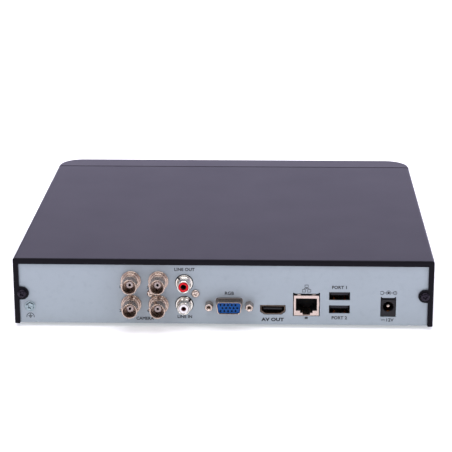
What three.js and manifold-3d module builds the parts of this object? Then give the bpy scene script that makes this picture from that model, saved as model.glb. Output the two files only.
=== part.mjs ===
// A four-channel desktop video recorder: a folded steel case with a moulded front, the rear panel's
// connectors, the main board behind them and the hard disk drive in front of the board.
// Millimetres. +Z is up, +Y points out of the rear panel, and the origin lies on the table under the
// middle of the whole object's box.
import * as THREE from "three";
import { mergeVertices } from "three/addons/utils/BufferGeometryUtils.js";
import Module from "manifold-3d";

const wasm = await Module();
wasm.setup();

// ---------------------------------------------------------------- driving dimensions
// Case
const CASE_WIDTH = 260;
const CASE_DEPTH = 240; // front of the bezel to the cover's rear lip
const CASE_HEIGHT = 42.7;
const FOOT_HEIGHT = 2;
const FOOT_RADIUS = 6;
const FOOT_STEM_RADIUS = 2.2;
const FOOT_CHAMFER = 0.6;
const FOOT_BULB = { radius: 2.9, tip: 1.4, height: 2 };
const FOOT_INSET = 24; // foot centre from the case's sides, its rear and the bezel
const SHEET = 0.8; // cover and chassis steel
const FIT = 0.3; // clearance between parts that slide or are cut to each other
const SEAT = 0.1; // clearance between parts that sit on each other
// Top cover
const COVER_BEND = 2;
const REAR_BEND = 1.5; // outer radius where the cover folds down into its rear lip
const LIP_SIDE = 3.6;
const LIP_TOP = 3.7;
const TAB_RADIUS = 4.2;
const TAB_INSET = 5.4; // tab and screw centre from the case's side
const TAB_HEIGHT = 19.9;
const LIP_CORNER = 1;
const TONGUE_REACH = 4; // how far the cover's front tongue runs under the bezel
const TONGUE_INSET = 22;
const SIDE_VENT = { count: 12, width: 2.4, height: 15, pitch: 6, centreHeight: 24 };
// Front bezel
const BEZEL_DEPTH = 20;
const BEZEL_WALL = 2.2;
const BEZEL_CORNER = 17;
const BEZEL_EDGE = 1.2;
const GROOVE = 1.2; // gap between bezel and cover
const HOOK = { width: 8, reach: 3, thick: 1.4, catchDepth: 1, inset: 34, fromTop: 6 };
// Chassis
const SIDE_FLANGE = 16;
const CHASSIS_BEND = 1.6; // outer bend radius
const RELIEF = { inset: 14.4, width: 1.8, height: 0.9 }; // bend relief in the rear panel's bottom edge
const EAR = { width: 1, height: 0.5 }; // corner relief over a square panel window
const LINK_WINDOW = { height: 4.8, width: 2, rise: 1.3 }; // for the network link light
const FLOOR_VENT = { count: 9, width: 3, length: 34, pitch: 7, besideDrive: 24, underBoard: 20 };
// Indicators behind the bezel
const LED = { count: 3, pitch: 9, radius: 1.4, inset: 44, height: 15, bar: 1.5, barMargin: 3, gap: 1 };
const WINDOW = { width: 44, height: 11, thick: 0.8, recess: 1, corner: 1.5 };
const LED_BOARD = { width: 34, height: 14, thick: 1.2, gap: 3.4 };
// Rear connector row: distances from the case's power end to the power jack and from each
// connector to the next
const POWER_INSET = 27.8;
const USB_PITCH = 30.1;
const NETWORK_PITCH = 20.4;
const DIGITAL_PITCH = 20.8;
const DSUB_PITCH = 26.95;
const AUDIO_PITCH = 27.85;
const VIDEO_PITCH = 15.9;
// Heights over the case's underside
const BOARD_TOP = 6.2;
const BNC_LOW = 12.95;
const BNC_RISE = 15.5;
const PHONO_LOW = 13;
const PHONO_RISE = 14.1;
const DSUB_HEIGHT = 13.2;
const DIGITAL_HEIGHT = 10;
const USB_LOW = 10.6;
const USB_RISE = 8.65;
const POWER_HEIGHT = 12.5;
// Coaxial video sockets
const BNC = {
  columnPitch: 17.1, proud: 12.4, radius: 4.8, bore: 4.05, boreDepth: 9, flange: 6.3, flangeThick: 1.3,
  step: 0.6, stepLength: 1.8, waist: 0.4, chamfer: 0.5, neck: 4.2, backWall: 1.5,
  lugRadius: 0.95, lugReach: 5.6, lugSetback: 4, dielectric: 2.2, pinHole: 0.8, recess: 3.5,
};
const BNC_BLOCK = { width: 32, height: 29, depth: 17, screwAside: 3.8 };
// Audio sockets
const PHONO = {
  proud: 7.4, radius: 4.05, bore: 3.1, flange: 5.3, flangeThick: 1, sunk: 1, panelHole: 5.75,
  shoulder: 0.5, taper: 1.6, chamfer: 0.5, insulator: 2.95, pinHole: 1.6, pinDepth: 9,
  slot: 1.1, slotDepth: 2, depth: 8,
};
const PHONO_BLOCK = { width: 12, height: 27, depth: 11, screwAside: 7, ear: 3, earDepth: 8 };
// Sub-D video socket
const DSUB = {
  top: 16.3, slope: 1, height: 8, corner: 2, wall: 0.5, proud: 5.9, flangeWidth: 30.8, flangeHeight: 12.5,
  flangeThick: 1, bodyDepth: 9, bodyMargin: 1, backWall: 1.5, screwSpacing: 25, screwAcross: 4.8,
  screwSeat: 0.6, screwHole: 1.4, screwProud: 5.2, shank: 5, threadDepth: 4, insertFit: 0.15,
  insertRecess: 0.6, pinPitch: 2.29, rowPitch: 1.98, pinRadius: 0.55, pinDepth: 4, panelMargin: 0.6,
};
// Digital video socket
const DIGITAL = {
  width: 15.2, height: 5.6, chamferX: 2.6, chamferZ: 1.9, wall: 0.45, depth: 11.5, backWall: 1,
  tongueBase: 3, tongueWidth: 11.6, tongueThick: 1.2, tongueRecess: 1, margin: 0.35,
};
// Network socket
const NETWORK = {
  width: 15.6, height: 13.2, depth: 21, wall: 0.4, socketWidth: 12.1, socketTop: 11, socketFloor: 3.2,
  stepWidth: 7.8, stepFloor: 1.8, keyWidth: 4.6, keyFloor: 0.5, socketDepth: 13, margin: 0.5, headroom: 1.3,
};
// Two-high USB socket
const USB = {
  width: 12.9, height: 5.3, wall: 0.5, depth: 17.5, backWall: 1, tongueBase: 3, tongueWidth: 11.1,
  tongueThick: 1.9, tongueRecess: 1.8, tongueDrop: 0.9,
};
// Power jack
const POWER = {
  width: 9, height: 11.3, depth: 14, hole: 3.15, holeDepth: 9.5, pin: 1, pinRoot: 2, pinTip: 0.5,
  pinRecess: 1.6, margin: 0.3,
};
// Screws
const CASE_SCREW = { head: 2.8, headHeight: 1.6, shank: 1.45, length: 6, slot: 0.8, slotReach: 1.5 };
const BLOCK_SCREW = {
  head: 2.5, headHeight: 1.5, shank: 1.2, length: 6, slot: 0.7, slotReach: 1.4, pilot: 7,
};
const GROUND_SCREW = {
  head: 2.7, headHeight: 2.2, shank: 1.45, length: 6, slot: 0.8, slotReach: 1.5, washer: 3.4,
  washerThick: 0.6,
};
const GROUND_INSET = 9.9;
const GROUND_HEIGHT = 11.2;
const BLOCK_SCREW_HEIGHT = 20.4;
// Main board
const BOARD = {
  thick: 1.6, margin: 9, beyondBlock: 3, panelGap: 0.8, driveGap: 8, boss: 3, bossInset: 6, screwHole: 1.6,
};
const CHIP = { side: 22, thick: 1.6 };
const SINK = { side: 34, base: 2.4, height: 13, fins: 9, fin: 1.1 };
const CELL = { radius: 10, thick: 3.2, holder: 11.4, holderHeight: 4.4, holderFloor: 1, notch: 8, inset: 20 };
const BUZZER = { radius: 6, height: 8, hole: 1, holeDepth: 3, inset: 15 };
// Hard disk drive, a 3.5 inch unit lying across the case
const DRIVE = {
  length: 147, width: 101.6, height: 26.1, inset: 9, frontGap: 4, boss: 4, bossRise: 3,
  holePitchX: 76.2, holePitchY: 95.25, holeInset: 41.3, holeBoss: 3, bossHeight: 5, thread: 1.5,
  threadDepth: 4, wall: 3, floor: 7, wellMargin: 0.9, bayStart: 12, lid: 1.2, lidInset: 0.5, lidCorner: 4,
  boardThick: 1, boardDepth: 1.6, boardInset: 2, pocketInset: 22, pocketDepth: 3.4,
};
const PLATTER = {
  radius: 47.5, thick: 1.3, count: 2, pitch: 4.4, first: 3, hub: 12.5, hubHeight: 13, hubChamfer: 1,
  inset: 51.5,
};
const ARM = {
  length: 52, thick: 1, first: 1.2, pivot: 6, pivotHeight: 12, back: 19, coilWidth: 26, coilThick: 3.4,
  coilCorner: 3, fromSpindle: 57, aside: 24, parked: 162, tipWidth: 5, rootWidth: 13,
};
// Cables inside the case
const DATA_CABLE = { width: 8, thick: 1.4, plugWidth: 12, plugHeight: 5.5, plugLength: 15, fromFront: 60 };
const POWER_CABLE = { width: 9, thick: 1.7, plugWidth: 22, plugHeight: 5.5, plugLength: 12, fromFront: 38 };
const FRONT_CABLE = { width: 6, thick: 1.2, plugWidth: 8, plugHeight: 5, plugLength: 6 };
const PLUG_GRIP = 2; // how deep a lead runs into its plug
const HEADER = { wall: 1.2, rise: 6, floor: 1.8, gap: 0.8, edge: 1, inset: 14 };

// ---------------------------------------------------------------- derived places
const REAR = (CASE_DEPTH - BNC.proud) / 2;
const FRONT = REAR - CASE_DEPTH;
const UNDER = FOOT_HEIGHT;
const TOP = UNDER + CASE_HEIGHT;
const HALF = CASE_WIDTH / 2;
const PANEL = REAR - SHEET - FIT; // outer face of the rear panel
const PANEL_BACK = PANEL - SHEET;
const CHASSIS_HALF = HALF - SHEET - FIT;
const CHASSIS_FRONT = FRONT + BEZEL_DEPTH + SEAT;
const COVER_FRONT = FRONT + BEZEL_DEPTH + GROOVE;
const FLOOR = UNDER + SHEET; // upper face of the chassis floor
const PANEL_TOP = TOP - SHEET - FIT;
const FRONT_WALL_TOP = TOP - BEZEL_WALL - 2 * SHEET - 3 * FIT; // clear of the cover's tongue
const POWER_X = -HALF + POWER_INSET;
const USB_X = POWER_X + USB_PITCH;
const NETWORK_X = USB_X + NETWORK_PITCH;
const DIGITAL_X = NETWORK_X + DIGITAL_PITCH;
const DSUB_X = DIGITAL_X + DSUB_PITCH;
const AUDIO_X = DSUB_X + AUDIO_PITCH;
const VIDEO_X = AUDIO_X + VIDEO_PITCH + BNC.columnPitch / 2;
const AUDIO_SCREW_X = AUDIO_X - PHONO_BLOCK.screwAside;
const VIDEO_SCREW_X = VIDEO_X - BNC_BLOCK.screwAside;
const BOARD_Z = UNDER + BOARD_TOP;
const BOARD_X0 = -HALF + BOARD.margin;
const BOARD_X1 = VIDEO_X + BNC_BLOCK.width / 2 + BOARD.beyondBlock;
const BOARD_Y1 = PANEL_BACK - BOARD.panelGap;
const DRIVE_X0 = -HALF + DRIVE.inset;
const DRIVE_X1 = DRIVE_X0 + DRIVE.length;
const DRIVE_Y0 = CHASSIS_FRONT + SHEET + DRIVE.frontGap;
const DRIVE_Y1 = DRIVE_Y0 + DRIVE.width;
const DRIVE_Z = FLOOR + DRIVE.bossRise + SEAT;
const BOARD_Y0 = DRIVE_Y1 + BOARD.driveGap;
const SPINDLE = [DRIVE_X0 + PLATTER.inset, (DRIVE_Y0 + DRIVE_Y1) / 2];
const ARM_PIVOT = [SPINDLE[0] + ARM.fromSpindle, SPINDLE[1] + ARM.aside];
const WELL_FLOOR = DRIVE_Z + DRIVE.floor;
// Cable headers stand side by side along the board's front edge, from its free corner inwards
const HEADER_SIDE = HEADER.wall + FIT;
const HEADER_Y = BOARD_Y0 + HEADER.inset;
const FRONT_SOCKET_X = BOARD_X1 - HEADER.edge - HEADER_SIDE - FRONT_CABLE.plugWidth / 2;
const POWER_SOCKET_X = headerBeside(FRONT_SOCKET_X, FRONT_CABLE, POWER_CABLE);
const DATA_SOCKET_X = headerBeside(POWER_SOCKET_X, POWER_CABLE, DATA_CABLE);
const PLUG_SEAT = BOARD_Z + HEADER.floor + 2 * SEAT;

function headerBeside(x, size, nextSize) {
  return x - size.plugWidth / 2 - nextSize.plugWidth / 2 - 2 * HEADER_SIDE - HEADER.gap;
}

const PAST = 1; // how far a cutting tool runs past the face it cuts
const ROUND = 14; // sides of a small round piece
const HOLE_ROUND = 12; // sides of a screw hole or boss
const DISK_ROUND = 28; // sides of the platters

// ---------------------------------------------------------------- materials
const finish = (color, roughness, metalness) =>
  new THREE.MeshStandardMaterial({ color, roughness, metalness });
const blackPaint = finish(0x3a3742, 0.55, 0.1);
const zincSteel = finish(0xaab2bb, 0.45, 0.5);
const blackPlastic = finish(0x1c1b21, 0.45, 0);
const blackRubber = finish(0x19191b, 0.9, 0);
const nickel = finish(0xb8aba3, 0.25, 1);
const zincBlue = finish(0xc5d3d8, 0.3, 0.9);
const whitePlastic = finish(0xe6e2e2, 0.5, 0);
const redPlastic = finish(0xc8102a, 0.4, 0);
const bluePlastic = finish(0x0b4fa0, 0.5, 0);
const blackScrew = finish(0x1d1c20, 0.4, 0.6);
const greenBoard = finish(0x1f5a35, 0.5, 0);
const aluminium = finish(0xb9bcc0, 0.4, 0.9);
const castAluminium = finish(0x8f9297, 0.55, 0.8);
const mirrorDisk = finish(0xd6d8da, 0.08, 1);
const clearPlastic = finish(0xdfe6ea, 0.15, 0);
const smokedPlastic = finish(0x22181c, 0.1, 0);
const redCable = finish(0xb3181c, 0.5, 0);
const yellowCable = finish(0xd8b021, 0.5, 0);
const greyCable = finish(0x8d9095, 0.6, 0);

// ---------------------------------------------------------------- solids
const alongX = new THREE.Vector3(1, 0, 0);
const alongY = new THREE.Vector3(0, 1, 0);
const alongZ = new THREE.Vector3(0, 0, 1);

// A closed three.js geometry as a solid that can be joined and cut.
function solid(geometry) {
  const bare = geometry.index ? geometry.toNonIndexed() : geometry.clone();
  bare.deleteAttribute("normal");
  bare.deleteAttribute("uv");
  const merged = mergeVertices(bare, 1e-4);
  const vertProperties = merged.attributes.position.array;
  const triVerts = new Uint32Array(merged.index.array);
  return new wasm.Manifold(new wasm.Mesh({ numProp: 3, vertProperties, triVerts }));
}

// A solid back as a three.js geometry.
function geometryOf(body) {
  const { vertProperties, triVerts } = body.getMesh();
  return new THREE.BufferGeometry()
    .setAttribute("position", new THREE.BufferAttribute(vertProperties, 3))
    .setIndex(new THREE.BufferAttribute(triVerts, 1));
}

// A box between two opposite corners.
function block([x0, y0, z0], [x1, y1, z1]) {
  const box = new THREE.BoxGeometry(x1 - x0, y1 - y0, z1 - z0);
  return solid(box.translate((x0 + x1) / 2, (y0 + y1) / 2, (z0 + z1) / 2));
}

// A closed outline through corners [x, y, radius], its rounded corners drawn as curves.
function outline(corners) {
  const shape = new THREE.Shape();
  corners.forEach(([x, y, radius = 0], i) => {
    const here = new THREE.Vector2(x, y);
    const before = corners.at(i - 1);
    const after = corners[(i + 1) % corners.length];
    const entry = new THREE.Vector2(before[0], before[1]).sub(here).setLength(radius).add(here);
    const leave = new THREE.Vector2(after[0], after[1]).sub(here).setLength(radius).add(here);
    if (i === 0) shape.moveTo(entry.x, entry.y);
    else shape.lineTo(entry.x, entry.y);
    if (radius > 0) shape.quadraticCurveTo(x, y, leave.x, leave.y);
  });
  shape.closePath();
  return shape;
}

// A rectangle about (x, y), with rounded corners.
const rectangle = (x, y, width, height, radius = 0) =>
  outline([
    [x - width / 2, y - height / 2, radius],
    [x + width / 2, y - height / 2, radius],
    [x + width / 2, y + height / 2, radius],
    [x - width / 2, y + height / 2, radius],
  ]);

// An upright outline (x, z) made thick along Y, from y0 to y1.
function plateY(shape, y0, y1, curveSegments = 4) {
  const extruded = new THREE.ExtrudeGeometry(shape, { depth: y1 - y0, bevelEnabled: false, curveSegments });
  return solid(extruded.rotateX(Math.PI / 2).translate(0, y1, 0));
}

// An upright outline (y, z) made thick along X, from x0 to x1.
function plateX(shape, x0, x1, curveSegments = 4) {
  const extruded = new THREE.ExtrudeGeometry(shape, { depth: x1 - x0, bevelEnabled: false, curveSegments });
  const turn = new THREE.Matrix4().makeBasis(alongY, alongZ, alongX);
  return solid(extruded.applyMatrix4(turn).translate(x0, 0, 0));
}

// A flat outline (x, y) made thick along Z, from z0 to z1.
function plateZ(shape, z0, z1, curveSegments = 4) {
  const extruded = new THREE.ExtrudeGeometry(shape, { depth: z1 - z0, bevelEnabled: false, curveSegments });
  return solid(extruded.translate(0, 0, z0));
}

// A rod along Y about (x, z).
function rodY(radius, x, z, y0, y1, sides = ROUND) {
  const rod = new THREE.CylinderGeometry(radius, radius, y1 - y0, sides);
  return solid(rod.translate(x, (y0 + y1) / 2, z));
}

// A rod along Z about (x, y).
function rodZ(radius, x, y, z0, z1, sides = ROUND) {
  const rod = new THREE.CylinderGeometry(radius, radius, z1 - z0, sides).rotateX(Math.PI / 2);
  return solid(rod.translate(x, y, (z0 + z1) / 2));
}

// A profile of [radius, y] points turned about the Y axis. The points run with y rising outside.
const turned = (points, sides = ROUND) =>
  solid(new THREE.LatheGeometry(points.map(([r, y]) => new THREE.Vector2(r, y)), sides));

// The same, stood upright about Z.
const turnedZ = (points, sides = ROUND) => turned(points, sides).rotate([90, 0, 0]);

const joined = (solids) => solids.reduce((whole, piece) => whole.add(piece));
const cut = (body, tools) => tools.reduce((rest, tool) => rest.subtract(tool), body);

// ---------------------------------------------------------------- scene graph
const recorder = new THREE.Group();
recorder.name = "video_recorder";

function add(name, body, material, [x, y, z] = [0, 0, 0]) {
  const mesh = new THREE.Mesh(geometryOf(body), material);
  mesh.name = name;
  mesh.position.set(x, y, z);
  recorder.add(mesh);
}

// ---------------------------------------------------------------- casing
// Foot centres, [name, x, y].
const feet = [];
for (const [side, sign] of [["left", -1], ["right", 1]]) {
  feet.push([`foot_front_${side}`, sign * (HALF - FOOT_INSET), FRONT + BEZEL_DEPTH + FOOT_INSET]);
  feet.push([`foot_rear_${side}`, sign * (HALF - FOOT_INSET), REAR - FOOT_INSET]);
}

// Drive screw centres, on the standard bottom pattern.
const driveHoles = [-1, 1].flatMap((side) =>
  [0, 1].map((k) => [
    DRIVE_X1 - DRIVE.holeInset - k * DRIVE.holePitchX,
    (DRIVE_Y0 + DRIVE_Y1) / 2 + (side * DRIVE.holePitchY) / 2,
  ]),
);

// Main board screw centres.
const boardHoles = [
  [BOARD_X0 + BOARD.bossInset, BOARD_Y0 + BOARD.bossInset],
  [BOARD_X1 - BOARD.bossInset, BOARD_Y0 + BOARD.bossInset],
  [BOARD_X0 + BOARD.bossInset, BOARD_Y1 - BOARD.bossInset],
  [(USB_X + POWER_X) / 2, BOARD_Y1 - BOARD.bossInset],
];

const hookHeights = [UNDER + BEZEL_WALL + SHEET, FRONT_WALL_TOP - HOOK.fromTop];
const hookPlaces = [-1, 1].flatMap((side) => [side * (HALF - HOOK.inset), (side * HALF) / 3]);

// The outline of the sub-D socket, widest at the top, grown by a margin.
function subD(margin) {
  const top = DSUB.top / 2 + margin;
  const bottom = top - DSUB.slope;
  const rise = DSUB.height / 2 + margin;
  const corner = DSUB.corner + Math.max(margin, -DSUB.corner / 2);
  return outline([
    [-bottom, -rise, corner],
    [bottom, -rise, corner],
    [top, rise, corner],
    [-top, rise, corner],
  ]);
}

// The outline of the digital video socket, its lower corners cut off, grown by a margin.
function digitalOutline(margin) {
  const side = DIGITAL.width / 2 + margin;
  const rise = DIGITAL.height / 2 + margin;
  return outline([
    [-side + DIGITAL.chamferX, -rise],
    [side - DIGITAL.chamferX, -rise],
    [side, -rise + DIGITAL.chamferZ],
    [side, rise],
    [-side, rise],
    [-side, -rise + DIGITAL.chamferZ],
  ]);
}

const powerZ = UNDER + POWER_HEIGHT;
const powerLow = BOARD_Z + SEAT;
const powerTop = powerZ + POWER.height / 2;
const usbLevels = [USB_LOW, USB_LOW + USB_RISE].map((height) => UNDER + height);
const bncPlaces = [0, 1].flatMap((column) =>
  [1, 0].map((row) => [
    VIDEO_X + (0.5 - column) * BNC.columnPitch,
    UNDER + BNC_LOW + row * BNC_RISE,
  ]),
);
const phonoPlaces = [
  ["out", UNDER + PHONO_LOW + PHONO_RISE, redPlastic, 1],
  ["in", UNDER + PHONO_LOW, whitePlastic, -1],
];

// Every opening through the rear panel.
function panelCuts() {
  const y0 = PANEL_BACK - PAST;
  const y1 = PANEL + PAST;
  const hole = (radius, x, z) => rodY(radius, x, z, y0, y1);
  const window = (x, z, width, height) => plateY(rectangle(x, z, width, height), y0, y1);
  // A window between two heights, with a small relief over each upper corner.
  const earedWindow = (x, width, low, high) => {
    const ear = (side) => window(x + (side * (width - EAR.width)) / 2, high, EAR.width, 2 * EAR.height);
    return joined([window(x, (low + high) / 2, width, high - low), ear(-1), ear(1)]);
  };
  return [
    ...bncPlaces.map(([x, z]) => hole(BNC.radius + FIT, x, z)),
    ...phonoPlaces.map(([, z]) => rodY(PHONO.panelHole, AUDIO_X, z, y0, y1, 2 * ROUND)),
    plateY(subD(DSUB.panelMargin), y0, y1).translate([DSUB_X, 0, UNDER + DSUB_HEIGHT]),
    ...[-1, 1].map((side) =>
      hole(
        DSUB.screwAcross / 2 - DSUB.screwSeat,
        DSUB_X + (side * DSUB.screwSpacing) / 2,
        UNDER + DSUB_HEIGHT,
      ),
    ),
    plateY(digitalOutline(DIGITAL.margin), y0, y1).translate([DIGITAL_X, 0, UNDER + DIGITAL_HEIGHT]),
    earedWindow(
      NETWORK_X,
      NETWORK.width + 2 * NETWORK.margin,
      BOARD_Z + SEAT - FIT,
      BOARD_Z + SEAT + NETWORK.height + NETWORK.headroom,
    ),
    ...usbLevels.map((z) => window(USB_X, z, USB.width, USB.height)),
    earedWindow(POWER_X, POWER.width + 2 * POWER.margin, powerLow - POWER.margin, powerTop + POWER.margin),
    hole(CASE_SCREW.shank + SEAT, HALF - TAB_INSET, UNDER + TAB_HEIGHT),
    hole(CASE_SCREW.shank + SEAT, TAB_INSET - HALF, UNDER + TAB_HEIGHT),
    hole(GROUND_SCREW.shank + SEAT, HALF - GROUND_INSET, UNDER + GROUND_HEIGHT),
    hole(BLOCK_SCREW.shank + SEAT, AUDIO_SCREW_X, UNDER + BLOCK_SCREW_HEIGHT),
    hole(BLOCK_SCREW.shank + SEAT, VIDEO_SCREW_X, UNDER + BLOCK_SCREW_HEIGHT),
    window(NETWORK_X, UNDER + LINK_WINDOW.height, LINK_WINDOW.width, LINK_WINDOW.rise),
  ];
}

// Vent slots in the floor, in one row under the free space beside the drive and one under the board.
function floorVents() {
  const rows = [
    [DRIVE_X1 + FLOOR_VENT.besideDrive, (DRIVE_Y0 + DRIVE_Y1) / 2],
    [DSUB_X - FLOOR_VENT.underBoard, BOARD_Y0 + (BOARD_Y1 - BOARD_Y0) / 3],
  ];
  return rows.flatMap(([x, y]) =>
    Array.from({ length: FLOOR_VENT.count }, (_, i) => {
      const middle = x + (i - (FLOOR_VENT.count - 1) / 2) * FLOOR_VENT.pitch;
      return block(
        [middle - FLOOR_VENT.width / 2, y - FLOOR_VENT.length / 2, UNDER - PAST],
        [middle + FLOOR_VENT.width / 2, y + FLOOR_VENT.length / 2, FLOOR + PAST],
      );
    }),
  );
}

// One folded sheet: floor, rear panel, low side flanges and front wall, with bosses for the board
// and the drive.
function chassis() {
  const bendInside = CHASSIS_BEND - SHEET;
  const flangeFront = CHASSIS_FRONT + CHASSIS_BEND;
  const flangeRear = PANEL - CHASSIS_BEND;
  const section = outline([
    [CHASSIS_FRONT, UNDER, CHASSIS_BEND],
    [PANEL, UNDER, CHASSIS_BEND],
    [PANEL, PANEL_TOP],
    [PANEL_BACK, PANEL_TOP],
    [PANEL_BACK, FLOOR, bendInside],
    [CHASSIS_FRONT + SHEET, FLOOR, bendInside],
    [CHASSIS_FRONT + SHEET, FRONT_WALL_TOP],
    [CHASSIS_FRONT, FRONT_WALL_TOP],
  ]);
  const tray = joined([
    plateX(section, -CHASSIS_HALF, CHASSIS_HALF),
    block([-CHASSIS_HALF, flangeFront, UNDER], [SHEET - CHASSIS_HALF, flangeRear, UNDER + SIDE_FLANGE]),
    block([CHASSIS_HALF - SHEET, flangeFront, UNDER], [CHASSIS_HALF, flangeRear, UNDER + SIDE_FLANGE]),
    ...boardHoles.map(([x, y]) => rodZ(BOARD.boss, x, y, UNDER, BOARD_Z - BOARD.thick - SEAT, HOLE_ROUND)),
    ...driveHoles.map(([x, y]) => rodZ(DRIVE.boss, x, y, UNDER, DRIVE_Z - SEAT, HOLE_ROUND)),
  ]);
  const reliefs = [-1, 1].map((side) => {
    const x = side * (HALF - RELIEF.inset);
    return block(
      [x - RELIEF.width / 2, PANEL_BACK - PAST, UNDER - PAST],
      [x + RELIEF.width / 2, PANEL + PAST, UNDER + RELIEF.height],
    );
  });
  const hookSlots = hookPlaces.flatMap((x) =>
    hookHeights.map((z) =>
      block(
        [x - HOOK.width / 2 - FIT, CHASSIS_FRONT - PAST, z - FIT],
        [x + HOOK.width / 2 + FIT, CHASSIS_FRONT + SHEET + PAST, z + HOOK.thick + HOOK.catchDepth + FIT],
      ),
    ),
  );
  const cableDoor = block(
    [ledX(1) - LED_BOARD.width / 2, CHASSIS_FRONT - PAST, UNDER + LED.height - LED_BOARD.height / 2],
    [ledX(1) + LED_BOARD.width / 2, CHASSIS_FRONT + SHEET + PAST, UNDER + LED.height + LED_BOARD.height / 2],
  );
  const footHoles = feet.map(([, x, y]) =>
    rodZ(FOOT_STEM_RADIUS + SEAT, x, y, UNDER - PAST, FLOOR + PAST, HOLE_ROUND),
  );
  return cut(tray, [...panelCuts(), ...floorVents(), ...reliefs, ...hookSlots, cableDoor, ...footHoles]);
}

// The cover: top and sides with rolled bends, a lip round the rear panel with a round tab for each
// screw, and a stepped-down tongue at the front.
function topCover() {
  const inner = HALF - SHEET;
  const bendInside = COVER_BEND - SHEET;
  const channel = outline([
    [-HALF, UNDER],
    [-inner, UNDER],
    [-inner, TOP - SHEET, bendInside],
    [inner, TOP - SHEET, bendInside],
    [inner, UNDER],
    [HALF, UNDER],
    [HALF, TOP, COVER_BEND],
    [-HALF, TOP, COVER_BEND],
  ]);
  const lip = outline([
    [-HALF, UNDER],
    [LIP_SIDE - HALF, UNDER, LIP_CORNER],
    [LIP_SIDE - HALF, TOP - LIP_TOP],
    [HALF - LIP_SIDE, TOP - LIP_TOP],
    [HALF - LIP_SIDE, UNDER, LIP_CORNER],
    [HALF, UNDER],
    [HALF, TOP, COVER_BEND],
    [-HALF, TOP, COVER_BEND],
  ]);
  const tongueTop = TOP - BEZEL_WALL - FIT;
  const tongueHalf = HALF - TONGUE_INSET;
  const tabs = [-1, 1].flatMap((side) => {
    const x = side * (HALF - TAB_INSET);
    const z = UNDER + TAB_HEIGHT;
    const bridge = [Math.min(x, side * HALF), Math.max(x, side * HALF)];
    return [
      rodY(TAB_RADIUS, x, z, REAR - SHEET, REAR),
      block([bridge[0], REAR - SHEET, z - TAB_RADIUS], [bridge[1], REAR, z + TAB_RADIUS]),
    ];
  });
  const folded = joined([
    plateY(channel, COVER_FRONT, REAR),
    plateY(lip, REAR - SHEET, REAR),
    ...tabs,
    block([-tongueHalf, COVER_FRONT, tongueTop - SHEET], [tongueHalf, COVER_FRONT + SHEET, TOP - SHEET / 2]),
    block(
      [-tongueHalf, COVER_FRONT - GROOVE - TONGUE_REACH, tongueTop - SHEET],
      [tongueHalf, COVER_FRONT + SHEET, tongueTop],
    ),
  ]);
  const screwHoles = [-1, 1].map((side) => {
    const x = side * (HALF - TAB_INSET);
    return rodY(CASE_SCREW.shank + SEAT, x, UNDER + TAB_HEIGHT, REAR - SHEET - PAST, REAR + PAST);
  });
  const middle = (COVER_FRONT + REAR) / 2;
  const vents = [-1, 1].flatMap((side) =>
    Array.from({ length: SIDE_VENT.count }, (_, i) => {
      const y = middle + (i - (SIDE_VENT.count - 1) / 2) * SIDE_VENT.pitch;
      const z = UNDER + SIDE_VENT.centreHeight;
      const wall = [side * HALF - SHEET - PAST, side * HALF + SHEET + PAST];
      return block(
        [wall[0], y - SIDE_VENT.width / 2, z - SIDE_VENT.height / 2],
        [wall[1], y + SIDE_VENT.width / 2, z + SIDE_VENT.height / 2],
      );
    }),
  );
  const topEdge = plateX(bendWaste(REAR, TOP), -HALF - PAST, HALF + PAST);
  const sideEdges = [plateZ(bendWaste(HALF, REAR), UNDER - PAST, TOP + PAST)];
  sideEdges.push(sideEdges[0].mirror([1, 0, 0]));
  return cut(folded, [...screwHoles, ...vents, topEdge, ...sideEdges]);
}

// What is cut from a square edge at (x, y) to leave the cover's rear bend.
function bendWaste(x, y) {
  const shape = new THREE.Shape();
  shape.moveTo(x - REAR_BEND, y);
  shape.quadraticCurveTo(x, y, x, y - REAR_BEND);
  shape.lineTo(x + PAST, y - REAR_BEND);
  shape.lineTo(x + PAST, y + PAST);
  shape.lineTo(x - REAR_BEND, y + PAST);
  shape.closePath();
  return shape;
}

// The bezel's plan: straight behind, its front corners rounded.
function bezelPlan(shrink) {
  const side = HALF - shrink;
  const corner = BEZEL_CORNER - shrink;
  return outline([
    [side, FRONT + BEZEL_DEPTH],
    [-side, FRONT + BEZEL_DEPTH],
    [-side, FRONT + shrink, corner],
    [side, FRONT + shrink, corner],
  ]);
}

// A moulded shell, open behind, its rim clipped to the chassis by hooks.
function frontBezel() {
  const layers = [
    plateZ(bezelPlan(BEZEL_EDGE), UNDER, TOP, 8),
    plateZ(bezelPlan(0), UNDER + BEZEL_EDGE, TOP - BEZEL_EDGE, 8),
  ];
  const hollow = plateZ(bezelPlan(BEZEL_WALL), UNDER + BEZEL_WALL, TOP - BEZEL_WALL, 8);
  const behind = block([-HALF, FRONT + BEZEL_DEPTH - SEAT, UNDER], [HALF, FRONT + BEZEL_DEPTH + PAST, TOP]);
  const shell = cut(joined(layers), [hollow, behind]);
  const hooks = hookPlaces.flatMap((x) =>
    hookHeights.map((z) =>
      joined([
        block(
          [x - HOOK.width / 2, FRONT + BEZEL_WALL / 2, z],
          [x + HOOK.width / 2, CHASSIS_FRONT + SHEET + HOOK.reach, z + HOOK.thick],
        ),
        block(
          [x - HOOK.width / 2, CHASSIS_FRONT + SHEET + FIT, z],
          [x + HOOK.width / 2, CHASSIS_FRONT + SHEET + HOOK.reach, z + HOOK.thick + HOOK.catchDepth],
        ),
      ]),
    ),
  );
  const lightHoles = Array.from({ length: LED.count }, (_, i) =>
    rodY(LED.radius + SEAT, ledX(i), UNDER + LED.height, FRONT - PAST, FRONT + BEZEL_WALL + PAST, HOLE_ROUND),
  );
  const recess = plateY(windowOutline(WINDOW.width, WINDOW.height), FRONT - PAST, FRONT + WINDOW.recess, 3);
  return cut(joined([shell, ...hooks]), [...lightHoles, recess]);
}

// The outline of the indicators' window, on the bezel's face.
function windowOutline(width, height) {
  return rectangle(ledX(1), UNDER + LED.height, width, height, WINDOW.corner);
}

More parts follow.
